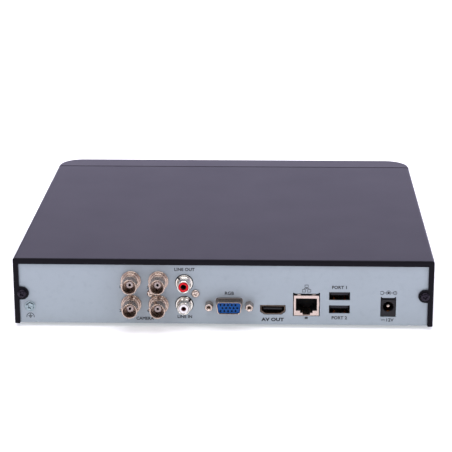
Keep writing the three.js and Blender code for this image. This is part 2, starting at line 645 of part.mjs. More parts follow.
function ledX(i) {
  return HALF - LED.inset + (i - (LED.count - 1) / 2) * LED.pitch;
}

// A push-in rubber foot: a pad with a chamfered edge, a stem and a bulb that holds it in the floor.
function foot() {
  const bulbLow = FOOT_HEIGHT + SHEET + SEAT;
  const bulbHigh = FOOT_HEIGHT + SHEET + FOOT_BULB.height;
  return turnedZ([
    [0, 0],
    [FOOT_RADIUS - FOOT_CHAMFER, 0],
    [FOOT_RADIUS, FOOT_CHAMFER],
    [FOOT_RADIUS, FOOT_HEIGHT - SEAT],
    [FOOT_STEM_RADIUS, FOOT_HEIGHT - SEAT],
    [FOOT_STEM_RADIUS, bulbLow],
    [FOOT_BULB.radius, bulbLow],
    [FOOT_BULB.tip, bulbHigh],
    [0, bulbHigh],
  ]);
}

add("chassis", chassis(), zincSteel);
add("top_cover", topCover(), blackPaint);
add("front_bezel", frontBezel(), blackPlastic);
for (const [name, x, y] of feet) add(name, foot(), blackRubber, [x, y, 0]);

// ---------------------------------------------------------------- screws
// A cross-recess screw along Y, its head's underside at y = 0 and its shank running to -length.
function crossScrew(size) {
  const washer = size.washer ?? size.head;
  const seat = size.washerThick ?? FIT;
  const body = turned([
    [0, -size.length],
    [size.shank, -size.length],
    [size.shank, 0],
    [washer, 0],
    [washer, seat],
    [size.head, seat],
    [size.head, size.headHeight * 0.6],
    [size.head * 0.7, size.headHeight],
    [0, size.headHeight],
  ]);
  const depth = size.headHeight * 0.6;
  const arm = (width, height) =>
    block([-width, size.headHeight - depth, -height], [width, size.headHeight + PAST, height]);
  return cut(body, [arm(size.slot / 2, size.slotReach), arm(size.slotReach, size.slot / 2)]);
}

for (const [name, side] of [["left", -1], ["right", 1]]) {
  add(`cover_screw_${name}`, crossScrew(CASE_SCREW), blackScrew, [
    side * (HALF - TAB_INSET),
    REAR + SEAT,
    UNDER + TAB_HEIGHT,
  ]);
}
add("ground_screw", crossScrew(GROUND_SCREW), zincBlue, [
  HALF - GROUND_INSET,
  PANEL + SEAT,
  UNDER + GROUND_HEIGHT,
]);
for (const [name, x] of [["audio_block_screw", AUDIO_SCREW_X], ["video_block_screw", VIDEO_SCREW_X]]) {
  add(name, crossScrew(BLOCK_SCREW), nickel, [x, PANEL + SEAT, UNDER + BLOCK_SCREW_HEIGHT]);
}

// ---------------------------------------------------------------- coaxial video sockets
// In each socket's own frame y = 0 is the rear panel's outer face.
const bncMouth = REAR + BNC.proud - PANEL;

// Plated body: flange, neck through the panel, barrel with two bayonet lugs and its bore.
function bncBarrel() {
  const stepEnd = BNC.flangeThick + BNC.stepLength;
  const body = turned([
    [0, -BNC.neck],
    [BNC.radius, -BNC.neck],
    [BNC.radius, SEAT],
    [BNC.flange, SEAT],
    [BNC.flange, BNC.flangeThick],
    [BNC.radius + BNC.step, BNC.flangeThick],
    [BNC.radius + BNC.step, stepEnd],
    [BNC.radius - BNC.waist, stepEnd + BNC.waist],
    [BNC.radius, stepEnd + 2 * BNC.waist],
    [BNC.radius, bncMouth - BNC.chamfer],
    [BNC.radius - BNC.chamfer, bncMouth],
    [BNC.bore, bncMouth],
    [BNC.bore, bncMouth - BNC.boreDepth],
    [BNC.dielectric + SEAT, bncMouth - BNC.boreDepth],
    [BNC.dielectric + SEAT, BNC.backWall - BNC.neck],
    [0, BNC.backWall - BNC.neck],
  ]);
  const lug = (side) =>
    solid(
      new THREE.CylinderGeometry(BNC.lugRadius, BNC.lugRadius, BNC.lugReach - BNC.bore - SEAT, 10)
        .rotateZ(Math.PI / 2)
        .translate((side * (BNC.lugReach + BNC.bore + SEAT)) / 2, bncMouth - BNC.lugSetback, 0),
    );
  return joined([body, lug(-1), lug(1)]);
}

// White dielectric with the contact's hole.
const bncDielectric = () =>
  turned(
    [
      [0, BNC.backWall + SEAT - BNC.neck],
      [BNC.dielectric, BNC.backWall + SEAT - BNC.neck],
      [BNC.dielectric, bncMouth - BNC.recess],
      [BNC.pinHole, bncMouth - BNC.recess],
      [BNC.pinHole, bncMouth - BNC.boreDepth],
      [0, bncMouth - BNC.boreDepth],
    ],
    16,
  );

bncPlaces.forEach(([x, z], i) => {
  add(`video_socket_${i + 1}`, bncBarrel(), nickel, [x, PANEL, z]);
  add(`video_dielectric_${i + 1}`, bncDielectric(), whitePlastic, [x, PANEL, z]);
});

// The hole that takes a block screw, in a moulding whose face is at y.
const screwPilot = (x, y) =>
  rodY(BLOCK_SCREW.shank + SEAT, x, UNDER + BLOCK_SCREW_HEIGHT, y - BLOCK_SCREW.pilot, y + PAST, HOLE_ROUND);

// The moulding behind the panel that carries all four sockets.
function videoBlock() {
  const y1 = PANEL_BACK - SEAT;
  const y0 = y1 - BNC_BLOCK.depth;
  const z0 = BOARD_Z + SEAT;
  const body = block([VIDEO_X - BNC_BLOCK.width / 2, y0, z0], [
    VIDEO_X + BNC_BLOCK.width / 2,
    y1,
    z0 + BNC_BLOCK.height,
  ]);
  const seats = bncPlaces.map(([x, z]) => rodY(BNC.radius + FIT, x, z, PANEL - BNC.neck - FIT, y1 + PAST));
  const pilot = screwPilot(VIDEO_SCREW_X, y1);
  return cut(body, [...seats, pilot]);
}
add("video_block", videoBlock(), blackPlastic);

// ---------------------------------------------------------------- audio sockets
const phonoMouth = REAR + PHONO.proud - PANEL;

// Plated sleeve with its flange sunk in the panel's hole and one slot across the flange.
function phonoSleeve(side) {
  const back = -SHEET - FIT - PHONO.sunk;
  const body = turned([
    [PHONO.bore, back],
    [PHONO.flange, back],
    [PHONO.flange, PHONO.flangeThick],
    [PHONO.radius + PHONO.shoulder, PHONO.flangeThick],
    [PHONO.radius, PHONO.flangeThick + PHONO.taper],
    [PHONO.radius, phonoMouth - PHONO.chamfer],
    [PHONO.radius - PHONO.chamfer, phonoMouth],
    [PHONO.bore, phonoMouth],
    [PHONO.bore, back],
  ]);
  const slot = solid(
    new THREE.BoxGeometry(PHONO.slot, 2 * PHONO.slotDepth, 2 * PHONO.slotDepth)
      .translate(0, PHONO.flangeThick, PHONO.flange)
      .rotateY((side * Math.PI) / 4),
  );
  return cut(body, [slot]);
}

// Coloured insulator with the plug pin's hole.
const phonoInsulator = () =>
  turned([
    [0, -PHONO.depth],
    [PHONO.insulator, -PHONO.depth],
    [PHONO.insulator, phonoMouth + FIT],
    [PHONO.pinHole, phonoMouth + FIT],
    [PHONO.pinHole, phonoMouth - PHONO.pinDepth],
    [0, phonoMouth - PHONO.pinDepth],
  ]);

for (const [name, z, material, side] of phonoPlaces) {
  add(`audio_sleeve_${name}`, phonoSleeve(side), nickel, [AUDIO_X, PANEL, z]);
  add(`audio_insulator_${name}`, phonoInsulator(), material, [AUDIO_X, PANEL, z]);
}

// The moulding behind the panel that carries both audio sockets, with an ear for its screw.
function audioBlock() {
  const y1 = PANEL_BACK - FIT - PHONO.sunk;
  const y0 = y1 - PHONO_BLOCK.depth;
  const z0 = BOARD_Z + SEAT;
  const earZ = UNDER + BLOCK_SCREW_HEIGHT;
  const body = joined([
    block(
      [AUDIO_X - PHONO_BLOCK.width / 2, y0, z0],
      [AUDIO_X + PHONO_BLOCK.width / 2, y1, z0 + PHONO_BLOCK.height],
    ),
    block(
      [AUDIO_SCREW_X - PHONO_BLOCK.ear, y1 - PHONO_BLOCK.earDepth, earZ - PHONO_BLOCK.ear],
      [AUDIO_X, y1, earZ + PHONO_BLOCK.ear],
    ),
  ]);
  const seatEnd = PANEL - PHONO.depth - FIT;
  const seats = phonoPlaces.map(([, z]) => rodY(PHONO.insulator + FIT, AUDIO_X, z, seatEnd, y1 + PAST));
  return cut(body, [...seats, screwPilot(AUDIO_SCREW_X, y1)]);
}
add("audio_block", audioBlock(), blackPlastic);

// ---------------------------------------------------------------- sub-D video socket
const dsubCentre = [DSUB_X, 0, UNDER + DSUB_HEIGHT];

// Plated shell with its flange and the body behind, hollow for the insert.
function dsubShell() {
  const mouth = REAR + DSUB.proud;
  const back = PANEL_BACK - SEAT;
  const foot = UNDER + DSUB_HEIGHT - BOARD_Z - SEAT;
  const flangeCentre = (DSUB.flangeHeight / 2 - foot) / 2;
  const flangeTall = DSUB.flangeHeight / 2 + foot;
  const bodyWidth = DSUB.top + 2 * DSUB.bodyMargin;
  const body = joined([
    plateY(subD(0), back - DSUB.flangeThick, mouth, 3),
    plateY(rectangle(0, flangeCentre, DSUB.flangeWidth, flangeTall, 1), back - DSUB.flangeThick, back, 2),
    plateY(rectangle(0, flangeCentre, bodyWidth, flangeTall), back - DSUB.bodyDepth, back),
  ]);
  const inside = plateY(subD(-DSUB.wall), back - DSUB.bodyDepth + DSUB.backWall, mouth + PAST, 3);
  const screws = [-1, 1].map((side) =>
    rodY(
      DSUB.screwHole + SEAT,
      (side * DSUB.screwSpacing) / 2,
      0,
      back - DSUB.flangeThick - PAST,
      back + PAST,
      HOLE_ROUND,
    ),
  );
  return cut(body, [inside, ...screws]);
}

// Blue insert with three rows of five contact holes.
function dsubInsert() {
  const mouth = REAR + DSUB.proud - DSUB.insertRecess;
  const back = PANEL_BACK - DSUB.bodyDepth + DSUB.backWall + FIT;
  const body = plateY(subD(-DSUB.wall - DSUB.insertFit), back, mouth, 3);
  const holes = [1, 0, -1].flatMap((row) =>
    Array.from({ length: 5 }, (_, i) => {
      const shift = row === 0 ? -0.25 : 0.25;
      const x = (i - 2 + shift) * DSUB.pinPitch;
      return rodY(DSUB.pinRadius, x, row * DSUB.rowPitch, mouth - DSUB.pinDepth, mouth + PAST, 6);
    }),
  );
  return cut(body, holes);
}
add("dsub_shell", dsubShell(), nickel, dsubCentre);
add("dsub_insert", dsubInsert(), bluePlastic, dsubCentre);

// Hexagonal jack screws that take the plug's thumb screws.
for (const [name, side] of [["left", -1], ["right", 1]]) {
  const across = DSUB.screwAcross / Math.sqrt(3);
  const standoff = REAR + DSUB.screwProud - PANEL;
  const screw = cut(
    joined([
      rodY(across, 0, 0, SEAT, standoff, 6),
      rodY(DSUB.screwHole, 0, 0, -DSUB.shank, SEAT + PAST / 2, HOLE_ROUND),
    ]),
    [rodY(DSUB.screwHole, 0, 0, standoff - DSUB.threadDepth, standoff + PAST, HOLE_ROUND)],
  );
  add(`dsub_jack_screw_${name}`, screw, nickel, [
    DSUB_X + (side * DSUB.screwSpacing) / 2,
    PANEL,
    UNDER + DSUB_HEIGHT,
  ]);
}

// ---------------------------------------------------------------- digital video socket
// In the socket's own frame y = 0 is its mouth, just inside the rear panel's outer face.
function digitalShell() {
  const tube = plateY(digitalOutline(0), -DIGITAL.depth, 0);
  return cut(tube, [plateY(digitalOutline(-DIGITAL.wall), DIGITAL.backWall - DIGITAL.depth, PAST)]);
}

// The tongue with its contacts' carrier, on a base that fills the shell's back.
function digitalTongue() {
  const half = DIGITAL.tongueWidth / 2;
  const baseTop = DIGITAL.tongueBase - DIGITAL.depth;
  return joined([
    block([-half, baseTop, 0], [half, -DIGITAL.tongueRecess, DIGITAL.tongueThick]),
    plateY(digitalOutline(-DIGITAL.wall - SEAT), DIGITAL.backWall + SEAT - DIGITAL.depth, baseTop),
  ]);
}
const digitalPlace = [DIGITAL_X, PANEL - SEAT, UNDER + DIGITAL_HEIGHT];
add("digital_video_shell", digitalShell(), nickel, digitalPlace);
add("digital_video_tongue", digitalTongue(), blackPlastic, digitalPlace);

// ---------------------------------------------------------------- network socket
// The stepped opening for the plug and its latch; z = 0 is the shield's underside.
function networkOpening(y0, y1) {
  const opening = (width, low, high) => plateY(rectangle(0, (low + high) / 2, width, high - low), y0, y1);
  return joined([
    opening(NETWORK.socketWidth, NETWORK.socketFloor, NETWORK.socketTop),
    opening(NETWORK.stepWidth, NETWORK.stepFloor, NETWORK.socketFloor + PAST),
    opening(NETWORK.keyWidth, NETWORK.keyFloor, NETWORK.stepFloor + PAST),
  ]);
}

// Plated shield, open behind, with the opening in its face.
function networkShield() {
  const inside = NETWORK.width / 2 - NETWORK.wall;
  const box = block([-NETWORK.width / 2, -NETWORK.depth, 0], [NETWORK.width / 2, 0, NETWORK.height]);
  const hollow = block(
    [-inside, -NETWORK.depth - PAST, NETWORK.wall],
    [inside, -NETWORK.wall, NETWORK.height - NETWORK.wall],
  );
  return cut(box, [hollow, networkOpening(-NETWORK.wall - PAST, PAST)]);
}

// Moulded body inside the shield, with the plug's stepped cavity.
function networkInsert() {
  const side = NETWORK.width / 2 - NETWORK.wall - SEAT;
  const y1 = -NETWORK.wall - SEAT;
  const low = NETWORK.wall + SEAT;
  const high = NETWORK.height - NETWORK.wall - SEAT;
  const body = block([-side, -NETWORK.depth, low], [side, y1, high]);
  return cut(body, [networkOpening(-NETWORK.socketDepth, y1 + PAST)]);
}
const networkPlace = [NETWORK_X, PANEL - SEAT, BOARD_Z + SEAT];
add("network_shield", networkShield(), nickel, networkPlace);
add("network_insert", networkInsert(), blackPlastic, networkPlace);

// ---------------------------------------------------------------- USB sockets
// One plated shell, two ports high, standing on the board behind the panel.
const usbMouth = PANEL_BACK - SEAT;
function usbShell() {
  const side = USB.width / 2 + USB.wall;
  const top = usbLevels[1] + USB.height / 2 + USB.wall;
  const body = block([USB_X - side, usbMouth - USB.depth, BOARD_Z + SEAT], [USB_X + side, usbMouth, top]);
  const ports = usbLevels.map((z) =>
    plateY(rectangle(USB_X, z, USB.width, USB.height), usbMouth - USB.depth + USB.backWall, usbMouth + PAST),
  );
  return cut(body, ports);
}
add("usb_shell", usbShell(), nickel);

usbLevels.forEach((z, i) => {
  const back = usbMouth - USB.depth + USB.backWall + SEAT;
  const high = USB.height / 2 - USB.tongueDrop;
  const rim = USB.width / 2 - SEAT;
  const tongue = joined([
    block([-USB.tongueWidth / 2, back, high - USB.tongueThick], [
      USB.tongueWidth / 2,
      usbMouth - USB.tongueRecess,
      high,
    ]),
    block([-rim, back, SEAT - USB.height / 2], [rim, back + USB.tongueBase, USB.height / 2 - SEAT]),
  ]);
  add(`usb_tongue_${["lower", "upper"][i]}`, tongue, blackPlastic, [USB_X, 0, z]);
});

// ---------------------------------------------------------------- power jack
function powerJack() {
  const y1 = PANEL - SEAT;
  const half = POWER.width / 2;
  const body = block([POWER_X - half, y1 - POWER.depth, powerLow], [POWER_X + half, y1, powerTop]);
  const hole = rodY(POWER.hole, POWER_X, powerZ, y1 - POWER.holeDepth, y1 + PAST);
  const seatEnd = y1 - POWER.holeDepth - POWER.pinRoot;
  const pinSeat = rodY(POWER.pin + SEAT, POWER_X, powerZ, seatEnd, y1, HOLE_ROUND);
  return cut(body, [hole, pinSeat]);
}
add("power_jack", powerJack(), blackPlastic);
add(
  "power_jack_pin",
  turned(
    [
      [0, SEAT - POWER.holeDepth - POWER.pinRoot],
      [POWER.pin, SEAT - POWER.holeDepth - POWER.pinRoot],
      [POWER.pin, -POWER.pinRecess - POWER.pinTip],
      [POWER.pin / 2, -POWER.pinRecess],
      [0, -POWER.pinRecess],
    ],
    HOLE_ROUND,
  ),
  nickel,
  [POWER_X, PANEL - SEAT, powerZ],
);

// ---------------------------------------------------------------- main board
function mainBoard() {
  const board = block([BOARD_X0, BOARD_Y0, BOARD_Z - BOARD.thick], [BOARD_X1, BOARD_Y1, BOARD_Z]);
  const holes = boardHoles.map(([x, y]) =>
    rodZ(BOARD.screwHole, x, y, BOARD_Z - BOARD.thick - PAST, BOARD_Z + PAST, HOLE_ROUND),
  );
  return cut(board, holes);
}
add("main_board", mainBoard(), greenBoard);

// The processor and its finned sink sit between the sockets' backs and the board's front edge.
const chipY = (PANEL_BACK - NETWORK.depth + BOARD_Y0) / 2;
const chipX = (DIGITAL_X + DSUB_X) / 2;
add(
  "processor",
  block([-CHIP.side / 2, -CHIP.side / 2, 0], [CHIP.side / 2, CHIP.side / 2, CHIP.thick]),
  blackPlastic,
  [chipX, chipY, BOARD_Z + SEAT],
);

function heatSink() {
  const half = SINK.side / 2;
  const base = block([-half, -half, 0], [half, half, SINK.base]);
  const gap = (SINK.side - SINK.fin) / (SINK.fins - 1);
  const fins = Array.from({ length: SINK.fins }, (_, i) => {
    const x = -half + i * gap;
    return block([x, -half, 0], [x + SINK.fin, half, SINK.height]);
  });
  return joined([base, ...fins]);
}
add("heat_sink", heatSink(), aluminium, [chipX, chipY, BOARD_Z + CHIP.thick + 2 * SEAT]);

// Clock battery in its holder, near the board's front corner beside the power end.
const cellPlace = [BOARD_X0 + CELL.inset, BOARD_Y0 + CELL.inset, BOARD_Z + SEAT];
add(
  "battery_holder",
  cut(rodZ(CELL.holder, 0, 0, 0, CELL.holderHeight, 20), [
    rodZ(CELL.radius + FIT, 0, 0, CELL.holderFloor, CELL.holderHeight + PAST, 20),
    block(
      [CELL.radius / 2, -CELL.notch / 2, CELL.holderFloor],
      [CELL.holder + PAST, CELL.notch / 2, CELL.holderHeight + PAST],
    ),
  ]),
  blackPlastic,
  cellPlace,
);
add(
  "battery_cell",
  rodZ(CELL.radius, 0, 0, CELL.holderFloor + SEAT, CELL.holderFloor + CELL.thick, 20),
  mirrorDisk,
  cellPlace,
);

add(
  "buzzer",
  cut(rodZ(BUZZER.radius, 0, 0, 0, BUZZER.height), [
    rodZ(BUZZER.hole, 0, 0, BUZZER.height - BUZZER.holeDepth, BUZZER.height + PAST, 8),
  ]),
  blackPlastic,
  [BOARD_X1 - BUZZER.inset, BOARD_Y0 + 2 * BUZZER.inset, BOARD_Z + SEAT],
);

// ---------------------------------------------------------------- front indicators
const pipeY0 = FRONT + WINDOW.recess + SEAT;
const ledBoardY = FRONT + BEZEL_WALL + LED_BOARD.gap;

// Three light posts on one bar behind the bezel's face.
function lightPipe() {
  const posts = Array.from({ length: LED.count }, (_, i) =>
    rodY(LED.radius, ledX(i), UNDER + LED.height, pipeY0, ledBoardY - LED.gap, HOLE_ROUND),
  );
  const bar = block(
    [ledX(0) - LED.barMargin, FRONT + BEZEL_WALL + SEAT, UNDER + LED.height - LED.barMargin],
    [
      ledX(LED.count - 1) + LED.barMargin,
      FRONT + BEZEL_WALL + SEAT + LED.bar,
      UNDER + LED.height + LED.barMargin,
    ],
  );
  return joined([bar, ...posts]);
}
add("light_pipe", lightPipe(), clearPlastic);
add(
  "front_window",
  plateY(
    windowOutline(WINDOW.width - 2 * FIT, WINDOW.height - 2 * FIT),
    FRONT + WINDOW.recess - SEAT - WINDOW.thick,
    FRONT + WINDOW.recess - SEAT,
    3,
  ),
  smokedPlastic,
);
add(
  "indicator_board",
  block(
    [-LED_BOARD.width / 2, 0, -LED_BOARD.height / 2],
    [LED_BOARD.width / 2, LED_BOARD.thick, LED_BOARD.height / 2],
  ),
  greenBoard,
  [ledX(1), ledBoardY, UNDER + LED.height],
);

// ---------------------------------------------------------------- hard disk drive
// Cast base: a round well for the platters, a bay for the arm, and a pocket below for its board.
function driveBase() {
  const lidSeat = DRIVE_Z + DRIVE.height - DRIVE.lid - SEAT;
  const body = block([DRIVE_X0, DRIVE_Y0, DRIVE_Z], [DRIVE_X1, DRIVE_Y1, lidSeat]);
  const well = rodZ(PLATTER.radius + DRIVE.wellMargin, ...SPINDLE, WELL_FLOOR, lidSeat + PAST, DISK_ROUND);
  const bay = block(
    [SPINDLE[0] + DRIVE.bayStart, DRIVE_Y0 + DRIVE.wall, WELL_FLOOR],
    [DRIVE_X1 - DRIVE.wall, DRIVE_Y1 - DRIVE.wall, lidSeat + PAST],
  );
  const pocket = block(
    [DRIVE_X0 + DRIVE.pocketInset, DRIVE_Y0 + DRIVE.wall, DRIVE_Z - PAST],
    [DRIVE_X1 + PAST, DRIVE_Y1 - DRIVE.wall, DRIVE_Z + DRIVE.pocketDepth],
  );
  const bosses = driveHoles.map(([x, y]) =>
    rodZ(DRIVE.holeBoss, x, y, DRIVE_Z, DRIVE_Z + DRIVE.bossHeight, HOLE_ROUND),
  );
  const threads = driveHoles.map(([x, y]) =>
    rodZ(DRIVE.thread, x, y, DRIVE_Z - PAST, DRIVE_Z + DRIVE.threadDepth, HOLE_ROUND),
  );
  return cut(joined([cut(body, [well, bay, pocket]), ...bosses]), threads);
}
add("drive_base", driveBase(), castAluminium);

function driveBoard() {
  const z0 = DRIVE_Z + DRIVE.boardDepth;
  const board = block(
    [DRIVE_X0 + DRIVE.pocketInset + FIT, DRIVE_Y0 + DRIVE.wall + FIT, z0],
    [DRIVE_X1 - DRIVE.boardInset, DRIVE_Y1 - DRIVE.wall - FIT, z0 + DRIVE.boardThick],
  );
  const bossHoles = driveHoles.map(([x, y]) =>
    rodZ(DRIVE.holeBoss + FIT, x, y, DRIVE_Z, DRIVE_Z + DRIVE.bossHeight, HOLE_ROUND),
  );
  return cut(board, bossHoles);
}
add("drive_board", driveBoard(), greenBoard);

const lidZ = DRIVE_Z + DRIVE.height - DRIVE.lid;
add(
  "drive_lid",
  plateZ(
    rectangle(
      (DRIVE_X0 + DRIVE_X1) / 2,
      (DRIVE_Y0 + DRIVE_Y1) / 2,
      DRIVE.length - 2 * DRIVE.lidInset,
      DRIVE.width - 2 * DRIVE.lidInset,
      DRIVE.lidCorner,
    ),
    lidZ,
    lidZ + DRIVE.lid,
  ),
  aluminium,
);

// Platters, spacers, hub and clamp turn as one piece.
function platters() {
  const points = [[0, FIT], [PLATTER.hub, FIT]];
  for (let i = 0; i < PLATTER.count; i++) {
    const z = PLATTER.first + i * PLATTER.pitch;
    points.push([PLATTER.hub, z], [PLATTER.radius, z]);
    points.push([PLATTER.radius, z + PLATTER.thick], [PLATTER.hub, z + PLATTER.thick]);
  }
  points.push([PLATTER.hub, PLATTER.hubHeight - PLATTER.hubChamfer]);
  points.push([PLATTER.hub - PLATTER.hubChamfer, PLATTER.hubHeight], [0, PLATTER.hubHeight]);
  return turnedZ(points, DISK_ROUND);
}
add("drive_platters", platters(), mirrorDisk, [...SPINDLE, WELL_FLOOR]);

// The head arm: a pivot, one arm over each platter and one under the lowest, and the coil behind.
function headArm() {
  const arm = outline([
    [-ARM.rootWidth / 2, 0],
    [ARM.rootWidth / 2, 0],
    [ARM.tipWidth / 2, ARM.length],
    [-ARM.tipWidth / 2, ARM.length],
  ]);
  const coil = outline([
    [-ARM.rootWidth / 2, 0],
    [-ARM.coilWidth / 2, -ARM.back, ARM.coilCorner],
    [ARM.coilWidth / 2, -ARM.back, ARM.coilCorner],
    [ARM.rootWidth / 2, 0],
  ]);
  const levels = Array.from({ length: PLATTER.count + 1 }, (_, i) => ARM.first + i * PLATTER.pitch);
  const coilLow = levels[1] + (ARM.thick - ARM.coilThick) / 2;
  return joined([
    rodZ(ARM.pivot, 0, 0, FIT, ARM.pivotHeight),
    plateZ(coil, coilLow, coilLow + ARM.coilThick),
    ...levels.map((z) => plateZ(arm, z, z + ARM.thick)),
  ]).rotate([0, 0, ARM.parked - 90]);
}
add("drive_head_arm", headArm(), aluminium, [...ARM_PIVOT, WELL_FLOOR]);

// ---------------------------------------------------------------- cables
// A flat lead swept along a curve. across(t) gives the direction of its width.
function flatLead(curve, across, width, thick, steps) {
  const positions = [];
  const index = [];
  for (let i = 0; i <= steps; i++) {
    const t = i / steps;
    const at = curve.getPointAt(t);
    const along = curve.getTangentAt(t);
    const normal = new THREE.Vector3().crossVectors(along, across(t)).normalize();
    const side = new THREE.Vector3().crossVectors(normal, along).normalize();
    for (const [s, n] of [[-1, -1], [1, -1], [1, 1], [-1, 1]]) {
      const corner = at.clone().addScaledVector(side, (s * width) / 2);
      corner.addScaledVector(normal, (n * thick) / 2);
      positions.push(...corner.toArray());
    }
  }
  for (let i = 0; i < steps; i++) {
    for (let k = 0; k < 4; k++) {
      const a = 4 * i + k;
      const b = 4 * i + ((k + 1) % 4);
      index.push(a, b, b + 4, a, b + 4, a + 4);
    }
  }
  const last = 4 * steps;
  index.push(0, 2, 1, 0, 3, 2, last, last + 1, last + 2, last, last + 2, last + 3);
  return solid(
    new THREE.BufferGeometry()
      .setAttribute("position", new THREE.Float32BufferAttribute(positions, 3))
      .setIndex(index),
  );
}

const points = (list) => list.map((place) => new THREE.Vector3(...place));

// The plug that stands in a header on the board.
function standingPlug(size, x) {
  return block(
    [x - size.plugWidth / 2, HEADER_Y - size.plugHeight / 2, PLUG_SEAT],
    [x + size.plugWidth / 2, HEADER_Y + size.plugHeight / 2, PLUG_SEAT + size.plugLength],
  );
}

// The header on the board round a standing plug's lower end.
function header(size, x) {
  const halfX = size.plugWidth / 2 + HEADER_SIDE;
  const halfY = size.plugHeight / 2 + HEADER_SIDE;
  const z0 = BOARD_Z + SEAT;
  const body = block([x - halfX, HEADER_Y - halfY, z0], [x + halfX, HEADER_Y + halfY, z0 + HEADER.rise]);
  const pocket = block(
    [x - halfX + HEADER.wall, HEADER_Y - halfY + HEADER.wall, z0 + HEADER.floor],
    [x + halfX - HEADER.wall, HEADER_Y + halfY - HEADER.wall, z0 + HEADER.rise + PAST],
  );
  return cut(body, [pocket]);
}

// A lead from the drive's end to a header, with a moulded plug on each end. fromFront is the drive
// socket's distance from the drive's front side, and lift is how high the lead arches.
function driveLead(size, fromFront, socketX, lift) {
  const x = DRIVE_X1 + FIT;
  const y = DRIVE_Y0 + fromFront;
  const z = DRIVE_Z + size.plugHeight;
  const curve = new THREE.CatmullRomCurve3(
    points([
      [x + size.plugLength - PLUG_GRIP, y, z],
      [x + size.plugLength + 7, y + 2, z + 1],
      [(x + socketX) / 2 + 15, (y + HEADER_Y) / 2, z + lift * 0.75],
      [socketX + 3, HEADER_Y - 6, z + lift],
      [socketX, HEADER_Y, PLUG_SEAT + size.plugLength + 2],
      [socketX, HEADER_Y, PLUG_SEAT + size.plugLength - PLUG_GRIP],
    ]),
  );
  const across = (t) => alongY.clone().lerp(alongX, t).normalize();
  const drivePlug = block(
    [x, y - size.plugWidth / 2, z - size.plugHeight / 2],
    [x + size.plugLength, y + size.plugWidth / 2, z + size.plugHeight / 2],
  );
  const lead = flatLead(curve, across, size.width, size.thick, 24);
  return joined([lead, drivePlug, standingPlug(size, socketX)]);
}

// The indicators' lead, from behind the bezel through the chassis's front wall to its header.
function frontLead() {
  const size = FRONT_CABLE;
  const x = ledX(1);
  const z = UNDER + LED.height;
  const y0 = ledBoardY + LED_BOARD.thick + SEAT;
  const curve = new THREE.CatmullRomCurve3(
    points([
      [x, y0 + size.plugLength - PLUG_GRIP, z],
      [x, CHASSIS_FRONT + 14, z],
      [x + 2, (CHASSIS_FRONT + HEADER_Y) / 2, FLOOR + 5],
      [x - 8, HEADER_Y - 26, FLOOR + 7],
      [FRONT_SOCKET_X + 5, HEADER_Y - 7, PLUG_SEAT + 14],
      [FRONT_SOCKET_X, HEADER_Y, PLUG_SEAT + size.plugLength + 3],
      [FRONT_SOCKET_X, HEADER_Y, PLUG_SEAT + size.plugLength - PLUG_GRIP],
    ]),
  );
  const ledPlug = block(
    [x - size.plugWidth / 2, y0, z - size.plugHeight / 2],
    [x + size.plugWidth / 2, y0 + size.plugLength, z + size.plugHeight / 2],
  );
  const lead = flatLead(curve, () => alongX, size.width, size.thick, 28);
  return joined([lead, ledPlug, standingPlug(size, FRONT_SOCKET_X)]);
}

add("data_cable", driveLead(DATA_CABLE, DATA_CABLE.fromFront, DATA_SOCKET_X, 18), redCable);
add("power_cable", driveLead(POWER_CABLE, POWER_CABLE.fromFront, POWER_SOCKET_X, 24), yellowCable);
add("indicator_cable", frontLead(), greyCable);
add("data_header", header(DATA_CABLE, DATA_SOCKET_X), blackPlastic);
add("power_header", header(POWER_CABLE, POWER_SOCKET_X), whitePlastic);
add("indicator_header", header(FRONT_CABLE, FRONT_SOCKET_X), whitePlastic);

export default recorder;
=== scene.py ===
import math
import random

import bmesh
import bpy
from mathutils import Matrix, Vector


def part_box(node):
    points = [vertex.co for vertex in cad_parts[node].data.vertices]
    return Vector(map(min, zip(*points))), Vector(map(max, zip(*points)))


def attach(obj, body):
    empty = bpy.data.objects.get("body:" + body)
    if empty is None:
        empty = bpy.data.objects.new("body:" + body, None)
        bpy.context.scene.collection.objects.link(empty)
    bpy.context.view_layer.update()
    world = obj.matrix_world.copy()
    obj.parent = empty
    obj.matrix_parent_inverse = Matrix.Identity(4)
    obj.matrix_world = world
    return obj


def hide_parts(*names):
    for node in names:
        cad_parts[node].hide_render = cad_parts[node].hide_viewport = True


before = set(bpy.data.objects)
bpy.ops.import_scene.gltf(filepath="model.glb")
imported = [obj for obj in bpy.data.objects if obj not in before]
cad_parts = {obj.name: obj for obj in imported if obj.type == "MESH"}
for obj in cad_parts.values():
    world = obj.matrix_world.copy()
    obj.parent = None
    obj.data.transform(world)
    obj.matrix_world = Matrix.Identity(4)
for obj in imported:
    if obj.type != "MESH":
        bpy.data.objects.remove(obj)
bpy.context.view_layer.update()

# The looks of a four-channel video recorder. Small parts are drawn in millimetres, in a frame of
# their own with +Y out of the rear panel, and placed where the CAD nodes lie.
MM = 0.001
random.seed(7)

# ------------------------------------------------------------------ camera
LENS = 130.0
SENSOR_WIDTH = 36
NEAREST = 0.01
FARTHEST = 50
CAMERA_PLACE = Vector((-0.0348, 1.0642, 0.3605))
CAMERA_YAW = math.radians(1.97)
CAMERA_PITCH = math.radians(17.18)
CAMERA_ROLL = math.radians(-0.18)


